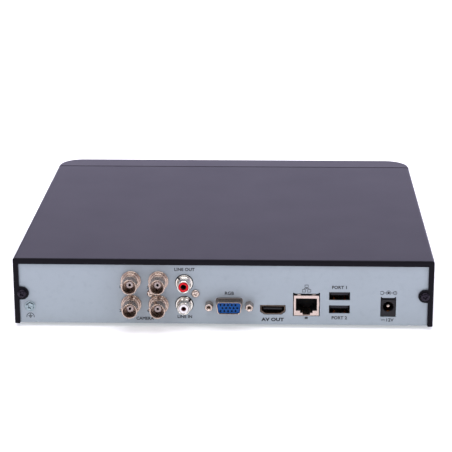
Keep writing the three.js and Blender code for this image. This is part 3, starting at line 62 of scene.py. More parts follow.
def aim_camera():
    camera = bpy.data.objects.new("camera", bpy.data.cameras.new("camera"))
    camera.data.lens = LENS
    camera.data.sensor_width = SENSOR_WIDTH
    camera.data.clip_start = NEAREST
    camera.data.clip_end = FARTHEST
    flat = Vector((math.sin(CAMERA_YAW), -math.cos(CAMERA_YAW), 0))
    forward = flat * math.cos(CAMERA_PITCH) - Vector((0, 0, math.sin(CAMERA_PITCH)))
    turn = forward.to_track_quat("-Z", "Y").to_matrix().to_4x4()
    camera.matrix_world = Matrix.Translation(CAMERA_PLACE) @ turn @ Matrix.Rotation(CAMERA_ROLL, 4, "Z")
    bpy.context.scene.collection.objects.link(camera)
    bpy.context.scene.camera = camera


aim_camera()


# ------------------------------------------------------------------ materials
def srgb(red, green, blue):
    """An 8-bit display colour as linear light."""
    return tuple(c / 255 / 12.92 if c < 11 else ((c / 255 + 0.055) / 1.055) ** 2.4
            for c in (red, green, blue))


class Finish:
    """A procedural material whose texture is set in millimetres."""

    def __init__(self, name, color, roughness, metallic=0.0, **sockets):
        self.material = bpy.data.materials.new(name)
        self.material.use_nodes = True
        self.nodes = self.material.node_tree.nodes
        self.links = self.material.node_tree.links
        self.shader = self.nodes["Principled BSDF"]
        self.color = color
        self.roughness = roughness
        self.shader.inputs["Base Color"].default_value = (*color, 1)
        self.shader.inputs["Roughness"].default_value = roughness
        self.shader.inputs["Metallic"].default_value = metallic
        for socket, value in sockets.items():
            self.shader.inputs[socket.replace("_", " ")].default_value = value
        self.normal = None
        self.place = self.nodes.new("ShaderNodeTexCoord").outputs["Object"]

    def stretched(self, along):
        """Coordinates squeezed across a brushing direction, so that noise runs along it."""
        mapping = self.nodes.new("ShaderNodeMapping")
        mapping.inputs["Scale"].default_value = along
        self.links.new(self.place, mapping.inputs["Vector"])
        return mapping.outputs["Vector"]

    def noise(self, size, detail=3.0, place=None, roughness=0.55):
        node = self.nodes.new("ShaderNodeTexNoise")
        node.inputs["Scale"].default_value = 1 / (size * MM)
        node.inputs["Detail"].default_value = detail
        node.inputs["Roughness"].default_value = roughness
        self.links.new(place or self.place, node.inputs["Vector"])
        return node.outputs["Fac"]

    def ranged(self, value, low, high, to_low, to_high):
        node = self.nodes.new("ShaderNodeMapRange")
        node.clamp = True
        self.links.new(value, node.inputs["Value"])
        for socket, number in zip(("From Min", "From Max", "To Min", "To Max"),
                (low, high, to_low, to_high)):
            node.inputs[socket].default_value = number
        return node.outputs["Result"]

    def tint(self, value, other, low=0.35, high=0.65):
        """Blend the colour towards another where the value is high."""
        mix = self.nodes.new("ShaderNodeMix")
        mix.data_type = "RGBA"
        current = self.shader.inputs["Base Color"]
        if current.is_linked:
            self.links.new(current.links[0].from_socket, mix.inputs["A"])
        else:
            mix.inputs["A"].default_value = (*self.color, 1)
        mix.inputs["B"].default_value = (*other, 1)
        self.links.new(self.ranged(value, low, high, 0, 1), mix.inputs["Factor"])
        self.links.new(mix.outputs["Result"], current)
        return self

    def blotch(self, size, amount):
        """Slow colour variation: a little darker and lighter than the base colour."""
        darker = tuple(c * (1 - amount) for c in self.color)
        lighter = tuple(min(1, c * (1 + amount)) for c in self.color)
        self.tint(self.noise(size), darker, 0.5, 0.8)
        return self.tint(self.noise(size * 0.7, 4.0), lighter, 0.52, 0.85)

    def uneven_gloss(self, size, spread, place=None):
        low = max(0.02, self.roughness - spread)
        value = self.noise(size, 4.0, place)
        self.links.new(self.ranged(value, 0.3, 0.7, low, self.roughness + spread),
                self.shader.inputs["Roughness"])
        return self

    def bump(self, value, depth, strength=1.0):
        """Relief of the given depth in millimetres."""
        node = self.nodes.new("ShaderNodeBump")
        node.inputs["Distance"].default_value = depth * MM
        node.inputs["Strength"].default_value = strength
        self.links.new(value, node.inputs["Height"])
        if self.normal:
            self.links.new(self.normal, node.inputs["Normal"])
        self.normal = node.outputs["Normal"]
        self.links.new(self.normal, self.shader.inputs["Normal"])
        return self

    def grain(self, size, depth, detail=2.0):
        return self.bump(self.noise(size, detail), depth)


def powder_coat(name, color, roughness):
    """Fine-grained paint: black when seen squarely, a purple-grey veil when seen along its face."""
    coat = Finish(name, color, roughness, Specular_IOR_Level=0.08, Sheen_Weight=0.13, Sheen_Roughness=0.35)
    coat.shader.inputs["Sheen Tint"].default_value = (0.6, 0.53, 1.0, 1)
    coat.blotch(60, 0.05).uneven_gloss(40, 0.015)
    coat.grain(0.55, 0.01, 1.0).grain(0.16, 0.005)
    return coat.material


def sheet_steel(name, color, roughness, metallic):
    steel = Finish(name, color, roughness, metallic)
    steel.blotch(26, 0.045)
    steel.tint(steel.noise(3.5, 5.0), tuple(c * 0.94 for c in color), 0.5, 0.75)
    steel.uneven_gloss(9, 0.07)
    steel.bump(steel.noise(0.9, 3.0, steel.stretched((0.12, 1, 1))), 0.006).grain(0.22, 0.004)
    return steel.material


def plated(name, color, roughness):
    plate = Finish(name, color, roughness, 1.0)
    plate.blotch(2.2, 0.1).uneven_gloss(1.3, 0.06)
    plate.bump(plate.noise(0.35, 2.0, plate.stretched((1, 0.15, 1))), 0.004)
    return plate.material


def moulded(name, color, roughness, grain_depth=0.01, **sockets):
    plastic = Finish(name, color, roughness, **sockets)
    plastic.blotch(6, 0.12).uneven_gloss(2.5, 0.06).grain(0.28, grain_depth)
    return plastic.material


def gloss(name, color, roughness=0.12, **sockets):
    plastic = Finish(name, color, roughness, **sockets)
    plastic.blotch(3, 0.05).uneven_gloss(1.5, 0.03).grain(1.6, 0.004)
    return plastic.material


def circuit_board(name):
    """Green solder mask over a maze of tracks, which show as raised and paler."""
    mask = Finish(name, srgb(16, 74, 40), 0.32, Coat_Weight=0.4)
    tracks = mask.nodes.new("ShaderNodeTexBrick")
    tracks.inputs["Scale"].default_value = 1 / (5 * MM)
    tracks.inputs["Mortar Size"].default_value = 0.035
    tracks.inputs["Row Height"].default_value = 0.2
    tracks.offset = 0.37
    warp = mask.nodes.new("ShaderNodeVectorMath")
    warp.operation = "SNAP"
    warp.inputs[1].default_value = (0.0004, 0.0004, 0.0004)
    mask.links.new(mask.place, warp.inputs[0])
    mask.links.new(warp.outputs["Vector"], tracks.inputs["Vector"])
    mask.tint(tracks.outputs["Fac"], srgb(46, 120, 66), 0.4, 0.6)
    mask.tint(mask.noise(14, 1.0), srgb(12, 62, 34), 0.5, 0.56)
    mask.uneven_gloss(5, 0.08)
    mask.bump(tracks.outputs["Fac"], 0.02).grain(0.3, 0.003)
    return mask.material


def cast_metal(name, color):
    cast = Finish(name, color, 0.52, 0.85)
    cast.blotch(9, 0.15).uneven_gloss(4, 0.1).grain(0.5, 0.03, 3.0)
    return cast.material


def brushed(name, color, along=(1, 0.04, 0.04)):
    metal = Finish(name, color, 0.34, 0.95)
    direction = metal.stretched(along)
    metal.blotch(14, 0.05).uneven_gloss(0.5, 0.1, direction)
    metal.bump(metal.noise(0.25, 4.0, direction), 0.006)
    return metal.material


def rubber(name):
    pad = Finish(name, srgb(30, 30, 32), 0.85)
    pad.blotch(4, 0.15).grain(0.35, 0.03).tint(pad.noise(7, 5.0), srgb(58, 56, 54), 0.6, 0.8)
    return pad.material


def ink(name, color):
    paint = Finish(name, color, 0.6)
    paint.blotch(1.5, 0.1).grain(0.15, 0.003)
    return paint.material


PAINT = powder_coat("black_powder_coat", srgb(15, 13, 19), 0.42)
PANEL_STEEL = sheet_steel("panel_steel", srgb(153, 163, 171), 0.45, 0.1)
NICKEL = plated("nickel_plate", srgb(192, 177, 166), 0.2)
BARREL_NICKEL = plated("barrel_nickel", srgb(186, 167, 154), 0.27)
BRIGHT_PLATE = plated("bright_plate", srgb(228, 224, 216), 0.26)
# A darker copy of the nickel: painted shade for shells whose sleeves sit in shadow.
SHADED_SHELL = plated("shaded_shell", srgb(122, 106, 95), 0.3)
ZINC = plated("zinc_plate", srgb(142, 156, 160), 0.26)
GOLD = plated("gold_flash", srgb(226, 176, 92), 0.2)
COPPER = plated("copper_alloy", srgb(208, 126, 66), 0.25)
TIN = plated("solder", srgb(196, 198, 200), 0.3)
BLACK_OXIDE = plated("black_oxide", srgb(42, 38, 46), 0.24)
BLACK_PLASTIC = moulded("black_plastic", srgb(17, 16, 21), 0.45, 0.008, Specular_IOR_Level=0.3)
BEZEL_PLASTIC = powder_coat("bezel_plastic", srgb(18, 16, 22), 0.38)
WHITE_PLASTIC = moulded("white_plastic", srgb(226, 220, 220), 0.4, 0.006)
DIELECTRIC = moulded("dielectric", srgb(222, 208, 206), 0.38, 0.004)
RED_PLASTIC = gloss("red_plastic", srgb(210, 8, 28), 0.32, Specular_IOR_Level=0.3)
PORCELAIN = gloss("white_gloss", srgb(232, 228, 230), 0.25)
BLUE_PLASTIC = moulded("blue_plastic", srgb(0, 68, 134), 0.45, 0.006, Specular_IOR_Level=0.2)
CHIP_PLASTIC = moulded("chip_plastic", srgb(34, 34, 36), 0.5, 0.012)
SMOKED = gloss("smoked_window", srgb(20, 12, 16), 0.08, Specular_IOR_Level=0.3, Coat_Weight=0.15,
        Coat_Roughness=0.05)
CLEAR = gloss("light_guide", srgb(226, 234, 238), 0.08, Transmission_Weight=0.75, IOR=1.49)
GREEN_BOARD = circuit_board("solder_mask")
CAST = cast_metal("die_cast_aluminium", srgb(150, 152, 156))
ALUMINIUM = brushed("brushed_aluminium", srgb(190, 192, 195))
FINNED = brushed("anodised_fins", srgb(168, 172, 178), (0.05, 1, 1))
MIRROR = plated("platter_film", srgb(222, 222, 226), 0.05)
RUBBER = rubber("foot_rubber")
INK = ink("printed_ink", srgb(12, 12, 18))
PAPER = moulded("label_paper", srgb(228, 228, 224), 0.7, 0.012)
RED_SLEEVE = moulded("red_sleeve", srgb(178, 24, 28), 0.4)
YELLOW_SLEEVE = moulded("yellow_sleeve", srgb(214, 172, 36), 0.4)
GREY_SLEEVE = moulded("grey_sleeve", srgb(138, 142, 148), 0.5)
DEEP_RED = moulded("deep_red_plastic", srgb(84, 12, 14), 0.5)
# Near-black painted shade: it fills holes, slots, bores and gaps where only shade is seen. The network
# socket's insert and lamp window are drawn in it too.
PAINTED_SHADE_BLACK = moulded("shadowed_cavity", srgb(8, 7, 9), 0.7)
CAN_SLEEVE = gloss("capacitor_sleeve", srgb(24, 26, 34), 0.22)


# ------------------------------------------------------------------ mesh tools
SHARP_ANGLE = math.radians(32)
BEVEL_ANGLE = math.radians(35)
FLAT_ANGLE = math.radians(0.6)
WELD_GAP = 0.005


def rounded(corners, steps=6):
    """A closed outline through corners (x, y, radius), its rounded corners drawn as arcs."""
    points = []
    count = len(corners)
    for i, (x, y, radius) in enumerate(corners):
        here = Vector((x, y))
        to_last = (Vector(corners[i - 1][:2]) - here).normalized()
        to_next = (Vector(corners[(i + 1) % count][:2]) - here).normalized()
        if radius <= 0:
            points.append(here)
            continue
        half = to_last.angle(to_next) / 2
        reach = radius / math.tan(half)
        middle = here + (to_last + to_next).normalized() * (radius / math.sin(half))
        start = (here + to_last * reach) - middle
        end = (here + to_next * reach) - middle
        sweep = start.angle_signed(end)
        for k in range(steps + 1):
            points.append(middle + turned(start, -sweep * k / steps))
    return points


def turned(vector, angle):
    """A flat vector turned counter-clockwise."""
    c = math.cos(angle)
    s = math.sin(angle)
    return Vector((vector.x * c - vector.y * s, vector.x * s + vector.y * c))


def rectangle(width, height, radius=0.0, x=0.0, y=0.0, steps=5):
    corners = ((-1, -1), (1, -1), (1, 1), (-1, 1))
    return rounded([(x + a * width / 2, y + b * height / 2, radius) for a, b in corners], steps)


def disc(radius, steps=24, x=0.0, y=0.0):
    return [Vector((x + radius * math.cos(a), y + radius * math.sin(a))) for a in circle(steps)]


def circle(steps):
    return [2 * math.pi * k / steps for k in range(steps)]


def ring_to_ring(bm, lower, upper):
    for k in range(len(lower)):
        j = (k + 1) % len(lower)
        bm.faces.new((lower[k], lower[j], upper[j], upper[k]))


def loft(sections):
    """A closed body through sections, each (outline, y): outlines in (x, z) with the same point count."""
    bm = bmesh.new()
    rings = [[bm.verts.new((p.x, y, p.y)) for p in outline] for outline, y in sections]
    for a, b in zip(rings, rings[1:]):
        ring_to_ring(bm, a, b)
    bm.faces.new(rings[0])
    bm.faces.new(list(reversed(rings[-1])))
    bmesh.ops.recalc_face_normals(bm, faces=bm.faces)
    return bm


def closed_loft(sections):
    """A hollow body whose sections run forward outside and back inside, to join up with the first."""
    bm = bmesh.new()
    rings = [[bm.verts.new((p.x, y, p.y)) for p in outline] for outline, y in sections]
    for a, b in zip(rings, rings[1:] + rings[:1]):
        ring_to_ring(bm, a, b)
    bmesh.ops.recalc_face_normals(bm, faces=bm.faces)
    return bm


def lathe(profile, steps=64, closed=False):
    """A body turned about Y from (radius, y) points that start and end on the axis, or close."""
    bm = bmesh.new()
    rings = []
    for radius, y in profile:
        if radius < 1e-6:
            rings.append([bm.verts.new((0, y, 0))])
        else:
            around = [(radius * math.cos(a), y, radius * math.sin(a)) for a in circle(steps)]
            rings.append([bm.verts.new(point) for point in around])
    pairs = list(zip(rings, rings[1:]))
    if closed:
        pairs.append((rings[-1], rings[0]))
    for a, b in pairs:
        if len(a) == 1 and len(b) > 1:
            for k in range(steps):
                bm.faces.new((a[0], b[(k + 1) % steps], b[k]))
        elif len(b) == 1 and len(a) > 1:
            for k in range(steps):
                bm.faces.new((b[0], a[k], a[(k + 1) % steps]))
        elif len(a) > 1:
            ring_to_ring(bm, a, b)
    bmesh.ops.recalc_face_normals(bm, faces=bm.faces)
    return bm


def block(low, high, bevel=0.0, segments=2):
    """A box between two corners with its edges rounded."""
    bm = bmesh.new()
    bmesh.ops.create_cube(bm, size=1)
    size = Vector(high) - Vector(low)
    bmesh.ops.scale(bm, vec=size, verts=bm.verts)
    bmesh.ops.translate(bm, vec=(Vector(low) + Vector(high)) / 2, verts=bm.verts)
    if bevel:
        width = min(bevel, min(size) * 0.45)
        bmesh.ops.bevel(bm, geom=bm.edges[:], offset=width, segments=segments, profile=0.5, affect="EDGES")
    return bm


def joined(*parts):
    """Several bodies in one mesh."""
    whole = bmesh.new()
    for part in parts:
        mesh = bpy.data.meshes.new("part")
        part.to_mesh(mesh)
        part.free()
        whole.from_mesh(mesh)
        bpy.data.meshes.remove(mesh)
    return whole


def moved(bm, x=0.0, y=0.0, z=0.0, turn=0.0, axis="Y"):
    """The body turned by an angle in degrees about an axis, then moved."""
    bmesh.ops.transform(bm, matrix=Matrix.Rotation(math.radians(turn), 4, axis), verts=bm.verts)
    bmesh.ops.translate(bm, vec=(x, y, z), verts=bm.verts)
    return bm


def upright(bm):
    """A body drawn with +Y outward stood on its back, so that +Y becomes +Z."""
    bmesh.ops.transform(bm, matrix=Matrix.Rotation(math.pi / 2, 4, "X"), verts=bm.verts)
    return bm


def strip(path, width, thick, across=Vector((1, 0, 0))):
    """A flat strip of metal bent along a path of (x, y, z) points."""
    bm = bmesh.new()
    rings = []
    places = [Vector(p) for p in path]
    for i, place in enumerate(places):
        along = (places[min(i + 1, len(places) - 1)] - places[max(i - 1, 0)]).normalized()
        normal = along.cross(across).normalized() * thick / 2
        side = across * width / 2
        rings.append([bm.verts.new(place + a * side + b * normal) for a,
                b in ((-1, -1), (1, -1), (1, 1), (-1, 1))])
    for a, b in zip(rings, rings[1:]):
        ring_to_ring(bm, a, b)
    bm.faces.new(rings[0])
    bm.faces.new(list(reversed(rings[-1])))
    bmesh.ops.recalc_face_normals(bm, faces=bm.faces)
    return bm


def to_object(name, bm, scale=MM):
    bmesh.ops.scale(bm, vec=(scale, scale, scale), verts=bm.verts)
    mesh = bpy.data.meshes.new(name)
    bm.to_mesh(mesh)
    bm.free()
    thing = bpy.data.objects.new(name, mesh)
    bpy.context.scene.collection.objects.link(thing)
    return thing


def difference(bm, *cutters):
    """The first body less the others, all in millimetres."""
    body = to_object("body", bm, 1)
    tools = [to_object("tool", cutter, 1) for cutter in cutters]
    for tool in tools:
        cut = body.modifiers.new("cut", "BOOLEAN")
        cut.object = tool
        cut.operation = "DIFFERENCE"
        cut.solver = "EXACT"
    graph = bpy.context.evaluated_depsgraph_get()
    result = bpy.data.meshes.new_from_object(body.evaluated_get(graph))
    out = bmesh.new()
    out.from_mesh(result)
    for thing in (body, *tools):
        mesh = thing.data
        bpy.data.objects.remove(thing)
        bpy.data.meshes.remove(mesh)
    bpy.data.meshes.remove(result)
    return out


def bevelled(thing, width, segments=2):
    round_edges = thing.modifiers.new("round_edges", "BEVEL")
    round_edges.width = width * MM
    round_edges.segments = segments
    round_edges.limit_method = "ANGLE"
    round_edges.angle_limit = BEVEL_ANGLE
    round_edges.use_clamp_overlap = True


def smooth_by_angle():
    """A node modifier that shades smooth except over sharp edges."""
    tree = bpy.data.node_groups.new("smooth_by_angle", "GeometryNodeTree")
    tree.interface.new_socket("Geometry", in_out="INPUT", socket_type="NodeSocketGeometry")
    tree.interface.new_socket("Geometry", in_out="OUTPUT", socket_type="NodeSocketGeometry")
    start = tree.nodes.new("NodeGroupInput")
    end = tree.nodes.new("NodeGroupOutput")
    smooth = tree.nodes.new("GeometryNodeSetShadeSmooth")
    sharp = tree.nodes.new("GeometryNodeSetShadeSmooth")
    sharp.domain = "EDGE"
    sharp.inputs["Shade Smooth"].default_value = False
    angle = tree.nodes.new("GeometryNodeInputMeshEdgeAngle")
    steep = tree.nodes.new("FunctionNodeCompare")
    steep.operation = "GREATER_THAN"
    steep.inputs["B"].default_value = SHARP_ANGLE
    tree.links.new(start.outputs[0], smooth.inputs["Geometry"])
    tree.links.new(smooth.outputs["Geometry"], sharp.inputs["Geometry"])
    tree.links.new(angle.outputs["Unsigned Angle"], steep.inputs["A"])
    tree.links.new(steep.outputs["Result"], sharp.inputs["Selection"])
    tree.links.new(sharp.outputs["Geometry"], end.inputs[0])
    return tree


SMOOTH = smooth_by_angle()


def shaded(thing):
    thing.modifiers.new("smooth", "NODES").node_group = SMOOTH
    weighted = thing.modifiers.new("flat_faces", "WEIGHTED_NORMAL")
    weighted.keep_sharp = True


def piece(name, bm, material, place=(0, 0, 0), body="case", stands_for=(), bevel=0.0):
    """A finished piece: shape in millimetres, place in metres."""
    thing = to_object(name, bm)
    thing.location = place
    thing.data.materials.append(material)
    if bevel:
        bevelled(thing, bevel)
    shaded(thing)
    if stands_for:
        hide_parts(*stands_for)
    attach(thing, body)
    return thing


def stand_in(node, bm, material, place=(0, 0, 0), body="case"):
    """A piece that takes the place of one CAD node."""
    return piece(node + "_fine", bm, material, place, body, (node,))


def dress(node, material, bevel=0.12):
    """A CAD node that keeps its shape: finer edges, smooth shading and a better material."""
    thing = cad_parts[node]
    for slot in thing.material_slots:
        slot.material = material
    weld = thing.modifiers.new("weld", "WELD")
    weld.merge_threshold = WELD_GAP * MM
    flat = thing.modifiers.new("flat", "DECIMATE")
    flat.decimate_type = "DISSOLVE"
    flat.angle_limit = FLAT_ANGLE
    if bevel:
        bevelled(thing, bevel)
    shaded(thing)


def repaint(thing, material, chosen):
    """Give a second material to the faces whose centre, in millimetres, is chosen."""
    thing.data.materials.append(material)
    for face in thing.data.polygons:
        if chosen(face.center / MM):
            face.material_index = 1


def middle(node):
    low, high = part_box(node)
    return (low + high) / 2


def size(node):
    """A CAD node's size in millimetres."""
    low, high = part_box(node)
    return (high - low) / MM


# ------------------------------------------------------------------ places
PANEL_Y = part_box("chassis")[1].y
PANEL_THICK = 0.8
UNDER_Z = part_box("chassis")[0].z
LIP_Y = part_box("top_cover")[1].y


def on_panel(x, z):
    """A point on the rear panel's outer face, x and z in metres."""
    return Vector((x, PANEL_Y, z))


def sticks_out(node):
    """How far a CAD node stands out of the panel, in millimetres."""
    return (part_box(node)[1].y - PANEL_Y) / MM


# ------------------------------------------------------------------ screws
def cross_recess(reach, width, y, depth):
    """The cutter of a cross recess, tapering inwards from height y."""
    arms = []
    for turn in (0, 90):
        top = rectangle(2 * reach, width, width * 0.2)
        bottom = rectangle(reach, width * 0.6, width * 0.12)
        arms.append(moved(loft([(bottom, y - depth), (top, y + 0.3)]), turn=turn))
    core = lathe([(0, y - depth * 1.15), (reach * 0.45, y - depth * 0.8), (reach * 0.62, y + 0.3),
            (0, y + 0.3)], 24)
    return arms + [core]


def thread(radius, start, end, pitch=0.5, depth=0.16):
    """Profile points of a thread's ridges along a shank from start up to end."""
    points = []
    y = start
    while y < end - pitch:
        points += [(radius - depth, y), (radius, y + pitch * 0.4), (radius, y + pitch * 0.5),
                (radius - depth, y + pitch * 0.9)]
        y += pitch
    return points


def pan_screw(name, place, material, head, height, shank, length, body="case", washer=0.0, turn=20,
        hexagon=False):
    base = 0.0
    prism = None
    profile = [(0, -length)] + thread(shank, -length, 0) + [(shank * 0.9, 0)]
    if washer:
        base = 0.6
        profile += [(washer - 0.15, 0), (washer, 0.12), (washer, base - 0.12), (washer - 0.15, base)]
    if hexagon:
        profile += [(head * 0.8, base), (head * 0.8, base + 0.05), (0, base + 0.05)]
        across = [head * 0.93, head * 1.02, head * 1.02, head * 0.88]
        levels = [base, base + 0.2, height - 0.45, height]
        prism = loft([(disc(r, 6), y) for r, y in zip(across, levels)])
    else:
        dome = [math.radians(a) for a in range(0, 91, 15)]
        curve = 0.62 * (height - base)
        low = height - curve
        profile += [(head - 0.1, base), (head, base + 0.1)]
        profile += [(head * (0.55 + 0.45 * math.cos(a)), low + curve * math.sin(a)) for a in dome]
        profile += [(0, height)]
    recess = cross_recess(head * 0.6, head * 0.3, height, (height - base) * 0.62)
    turned_part = lathe(profile, 48)
    shape = joined(turned_part, difference(prism, *recess)) if prism else difference(turned_part, *recess)
    moved(shape, turn=turn)
    return stand_in(name, shape, material, place, body)


def screws():
    for name, turn in (("cover_screw_left", 12), ("cover_screw_right", 38)):
        place = middle(name)
        place.y = LIP_Y + 0.1 * MM
        pan_screw(name, place, BLACK_OXIDE, 2.8, 1.6, 1.45, 6, "cover", turn=turn)
    place = middle("ground_screw")
    place.y = PANEL_Y + 0.1 * MM
    pan_screw("ground_screw", place, ZINC, 2.55, 2.2, 1.45, 6, washer=3.4, turn=31, hexagon=True)
    for name, turn in (("audio_block_screw", 24), ("video_block_screw", 50)):
        place = middle(name)
        place.y = PANEL_Y + 0.1 * MM
        pan_screw(name, place, NICKEL, 2.5, 1.5, 1.2, 6, turn=turn)


# ------------------------------------------------------------------ coaxial video sockets
def video_socket(i):
    x, _, z = middle(f"video_dielectric_{i}")
    place = on_panel(x, z)
    mouth = sticks_out(f"video_socket_{i}")
    outside = [
        (0, -4.2), (4.6, -4.2), (4.8, -4.0), (4.8, 0.1), (6.1, 0.1), (6.28, 0.28), (6.28, 1.1), (6.1, 1.3),
        (5.5, 1.3), (5.4, 1.4), (5.4, 2.9), (5.2, 3.15), (4.5, 3.3), (4.35, 3.5), (4.35, 4.0), (4.55, 4.25),
        (4.8, 4.4), (4.8, 5.7), (4.62, 5.85), (4.62, 6.25), (4.8, 6.4), (4.8, mouth - 0.75),
        (4.7, mouth - 0.3), (4.45, mouth - 0.05), (4.25, mouth),
    ]
    inside = [(4.1, mouth - 0.12), (4.02, mouth - 0.4), (4.02, 3.2), (2.35, 3.2), (2.35, -2.6), (0, -2.6)]
    barrel = lathe(outside + inside)
    lugs = []
    for side in (-1, 1):
        lug = lathe([(0, 4.1), (0.95, 4.1), (0.95, 5.35), (0.8, 5.55), (0, 5.6)], 24)
        lugs.append(moved(moved(lug, turn=-90 * side, axis="Z"), y=mouth - 4.0))
    piece(f"video_barrel_{i}", joined(barrel, *lugs), BARREL_NICKEL, place,
            stands_for=(f"video_socket_{i}",))
    front = mouth - 4.9
    body = [(0, -2.55), (2.2, -2.55), (2.2, front - 0.25), (1.95, front), (1.0, front),
            (0.86, front - 0.12)]
    body += [(0.86, front - 7), (0, front - 7)]
    insulator = piece(f"video_insulator_{i}", lathe(body, 40), DIELECTRIC, place,
                      stands_for=(f"video_dielectric_{i}",))
    # The faces inside the bore are repainted near-black: painted shade in the hole.
    repaint(insulator, PAINTED_SHADE_BLACK, lambda at: math.hypot(at.x, at.z) < 0.88 and at.y > front - 7.2)
    low = front - 6.9
    top = front - 3.4
    tube = [(0.42, low), (0.74, low), (0.74, top - 0.15), (0.62, top), (0.42, top - 0.15)]
    contact = lathe(tube, 24, closed=True)
    slots = [moved(block((-1, top - 2, -0.07), (1, top + 1, 0.07)), turn=t) for t in (0, 90)]
    piece(f"video_contact_{i}", difference(contact, *slots), GOLD, place)


# ------------------------------------------------------------------ audio sockets
def audio_socket(which, material, slot_turn, bore, bore_material):
    sleeve = f"audio_sleeve_{which}"
    insulator = f"audio_insulator_{which}"
    x, _, z = middle(insulator)
    place = on_panel(x, z)
    mouth = sticks_out(sleeve)
    outside = [
        (3.1, -2.1), (5.15, -2.1), (5.3, -1.95), (5.3, 0.75), (5.15, 0.95), (4.95, 0.95), (4.9, 0.3),
        (4.55, 0.3),
        (4.5, 1.35), (4.3, 1.55), (4.05, 1.8), (4.05, 3.2), (3.92, 3.35), (3.92, 3.75), (4.05, 3.9),
        (4.05, mouth - 1.1), (3.95, mouth - 0.45), (3.7, mouth - 0.1), (3.45, mouth), (3.2, mouth - 0.15),
        (3.1, mouth - 0.5),
    ]
    ring = lathe(outside, closed=True)
    slot_cut = moved(block((-0.6, -2.6, 3.3), (0.6, 2.0, 6.0)), turn=slot_turn)
    stand_in(sleeve, difference(ring, slot_cut), BRIGHT_PLATE, place)
    # A near-black block behind the cut slot: painted shade standing for the dark inside of the slot.
    key = moved(block((-0.5, -2.5, 3.32), (0.5, 1.15, 5.2), 0.1), turn=slot_turn)
    piece(f"audio_slot_shade_{which}", key, PAINTED_SHADE_BLACK, place)
    front = mouth + 0.25
    body = [(0, -8), (2.95, -8), (2.95, front - 0.5), (2.85, front - 0.15), (2.6, front),
            (bore + 0.35, front - 0.05)]
    body += [(bore + 0.1, front - 0.3), (bore, front - 0.8), (bore, -1.2), (0, -1.2)]
    stand_in(insulator, lathe(body, 48), material, place)
    outer = bore - 0.04
    inner = bore - 0.35
    tube = [(inner, -1.1), (outer, -1.1), (outer, front - 1.0), (outer - 0.15, front - 0.85),
            (inner, front - 1.0)]
    piece(f"audio_contact_{which}", lathe(tube, 32, closed=True), bore_material, place)


# ------------------------------------------------------------------ sub-D socket
DSUB_TOP = 16.3
DSUB_HEIGHT = 8.0
CONTACT_PITCH = 2.29
ROW_PITCH = 1.98
JACK_ACROSS = 4.8


def d_outline(margin, steps=6):
    top = DSUB_TOP / 2 + margin
    bottom = top - 1.0
    rise = DSUB_HEIGHT / 2 + margin
    radius = max(0.6, 2.0 + margin)
    corners = [(-bottom, -rise), (bottom, -rise), (top, rise), (-top, rise)]
    return rounded([(x, z, radius) for x, z in corners], steps)


def dsub():
    centre = middle("dsub_insert")
    place = on_panel(centre.x, centre.z)
    mouth = sticks_out("dsub_shell")
    back = -PANEL_THICK - 0.1
    sections = [
        (d_outline(0.5), back - 0.6), (d_outline(0.5), -0.1), (d_outline(0.42), 0.35),
        (d_outline(0.2), 0.9),
        (d_outline(0.04), 1.5), (d_outline(0), 2.0), (d_outline(0), mouth - 0.35),
        (d_outline(-0.12), mouth - 0.06),
        (d_outline(-0.28), mouth), (d_outline(-0.5), mouth - 0.12), (d_outline(-0.52), mouth - 0.5),
        (d_outline(-0.52), back - 0.6),
    ]
    tube = closed_loft(sections)
    width = size("dsub_shell").x
    low = (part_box("dsub_shell")[0].z - centre.z) / MM
    flange = closed_loft([
        (rectangle(width, 6.25 - low, 1, 0, (6.25 + low) / 2), back - 1.0),
        (rectangle(width, 6.25 - low, 1, 0, (6.25 + low) / 2), back),
        (rectangle(DSUB_TOP, DSUB_HEIGHT, 1, 0, 0), back),
        (rectangle(DSUB_TOP, DSUB_HEIGHT, 1, 0, 0), back - 1.0),
    ])
    can = block((-DSUB_TOP / 2 - 1, back - 9, low), (DSUB_TOP / 2 + 1, back - 1.05, 6.0), 0.4)
    shell = stand_in("dsub_shell", joined(tube, flange, can), NICKEL, place)
    # The shell's sleeve, between flange and rim, is repainted in the darker nickel: painted shade on the
    # sleeve.
    repaint(shell, SHADED_SHELL, lambda at: 0.7 < at.y < mouth - 0.3)
    front = mouth - 0.55
    insert = loft([
        (d_outline(-0.66), back - 0.9), (d_outline(-0.66), front - 0.25), (d_outline(-0.8), front - 0.05),
        (d_outline(-1.0), front),
    ])
    holes = []
    sleeves = []
    hole_shades = []
    for row in (1, 0, -1):
        shift = 0.25 if row else -0.25
        for column in range(5):
            x = (column - 2 + shift) * CONTACT_PITCH
            z = row * ROW_PITCH
            funnel = [(0, front - 4), (0.6, front - 4), (0.6, front - 0.2), (0.74, front + 0.1),
                    (0, front + 0.1)]
            holes.append(moved(lathe(funnel, 20), x, 0, z))
            tube = [(0.3, front - 3.8), (0.46, front - 3.8), (0.46, front - 2.4), (0.3, front - 2.4)]
            sleeves.append(moved(lathe(tube, 16, closed=True), x, 0, z))
            # Near-black sleeves inside the contact holes: painted shade.
            lining = [(0.5, front - 3.9), (0.62, front - 3.9), (0.62, front - 0.3), (0.5, front - 0.3)]
            hole_shades.append(moved(lathe(lining, 16, closed=True), x, 0, z))
    stand_in("dsub_insert", difference(insert, joined(*holes)), BLUE_PLASTIC, place)
    piece("dsub_contacts", joined(*sleeves), GOLD, place)
    piece("dsub_hole_shades", joined(*hole_shades), PAINTED_SHADE_BLACK, place)
    for side in ("left", "right"):
        jack_screw(f"dsub_jack_screw_{side}")


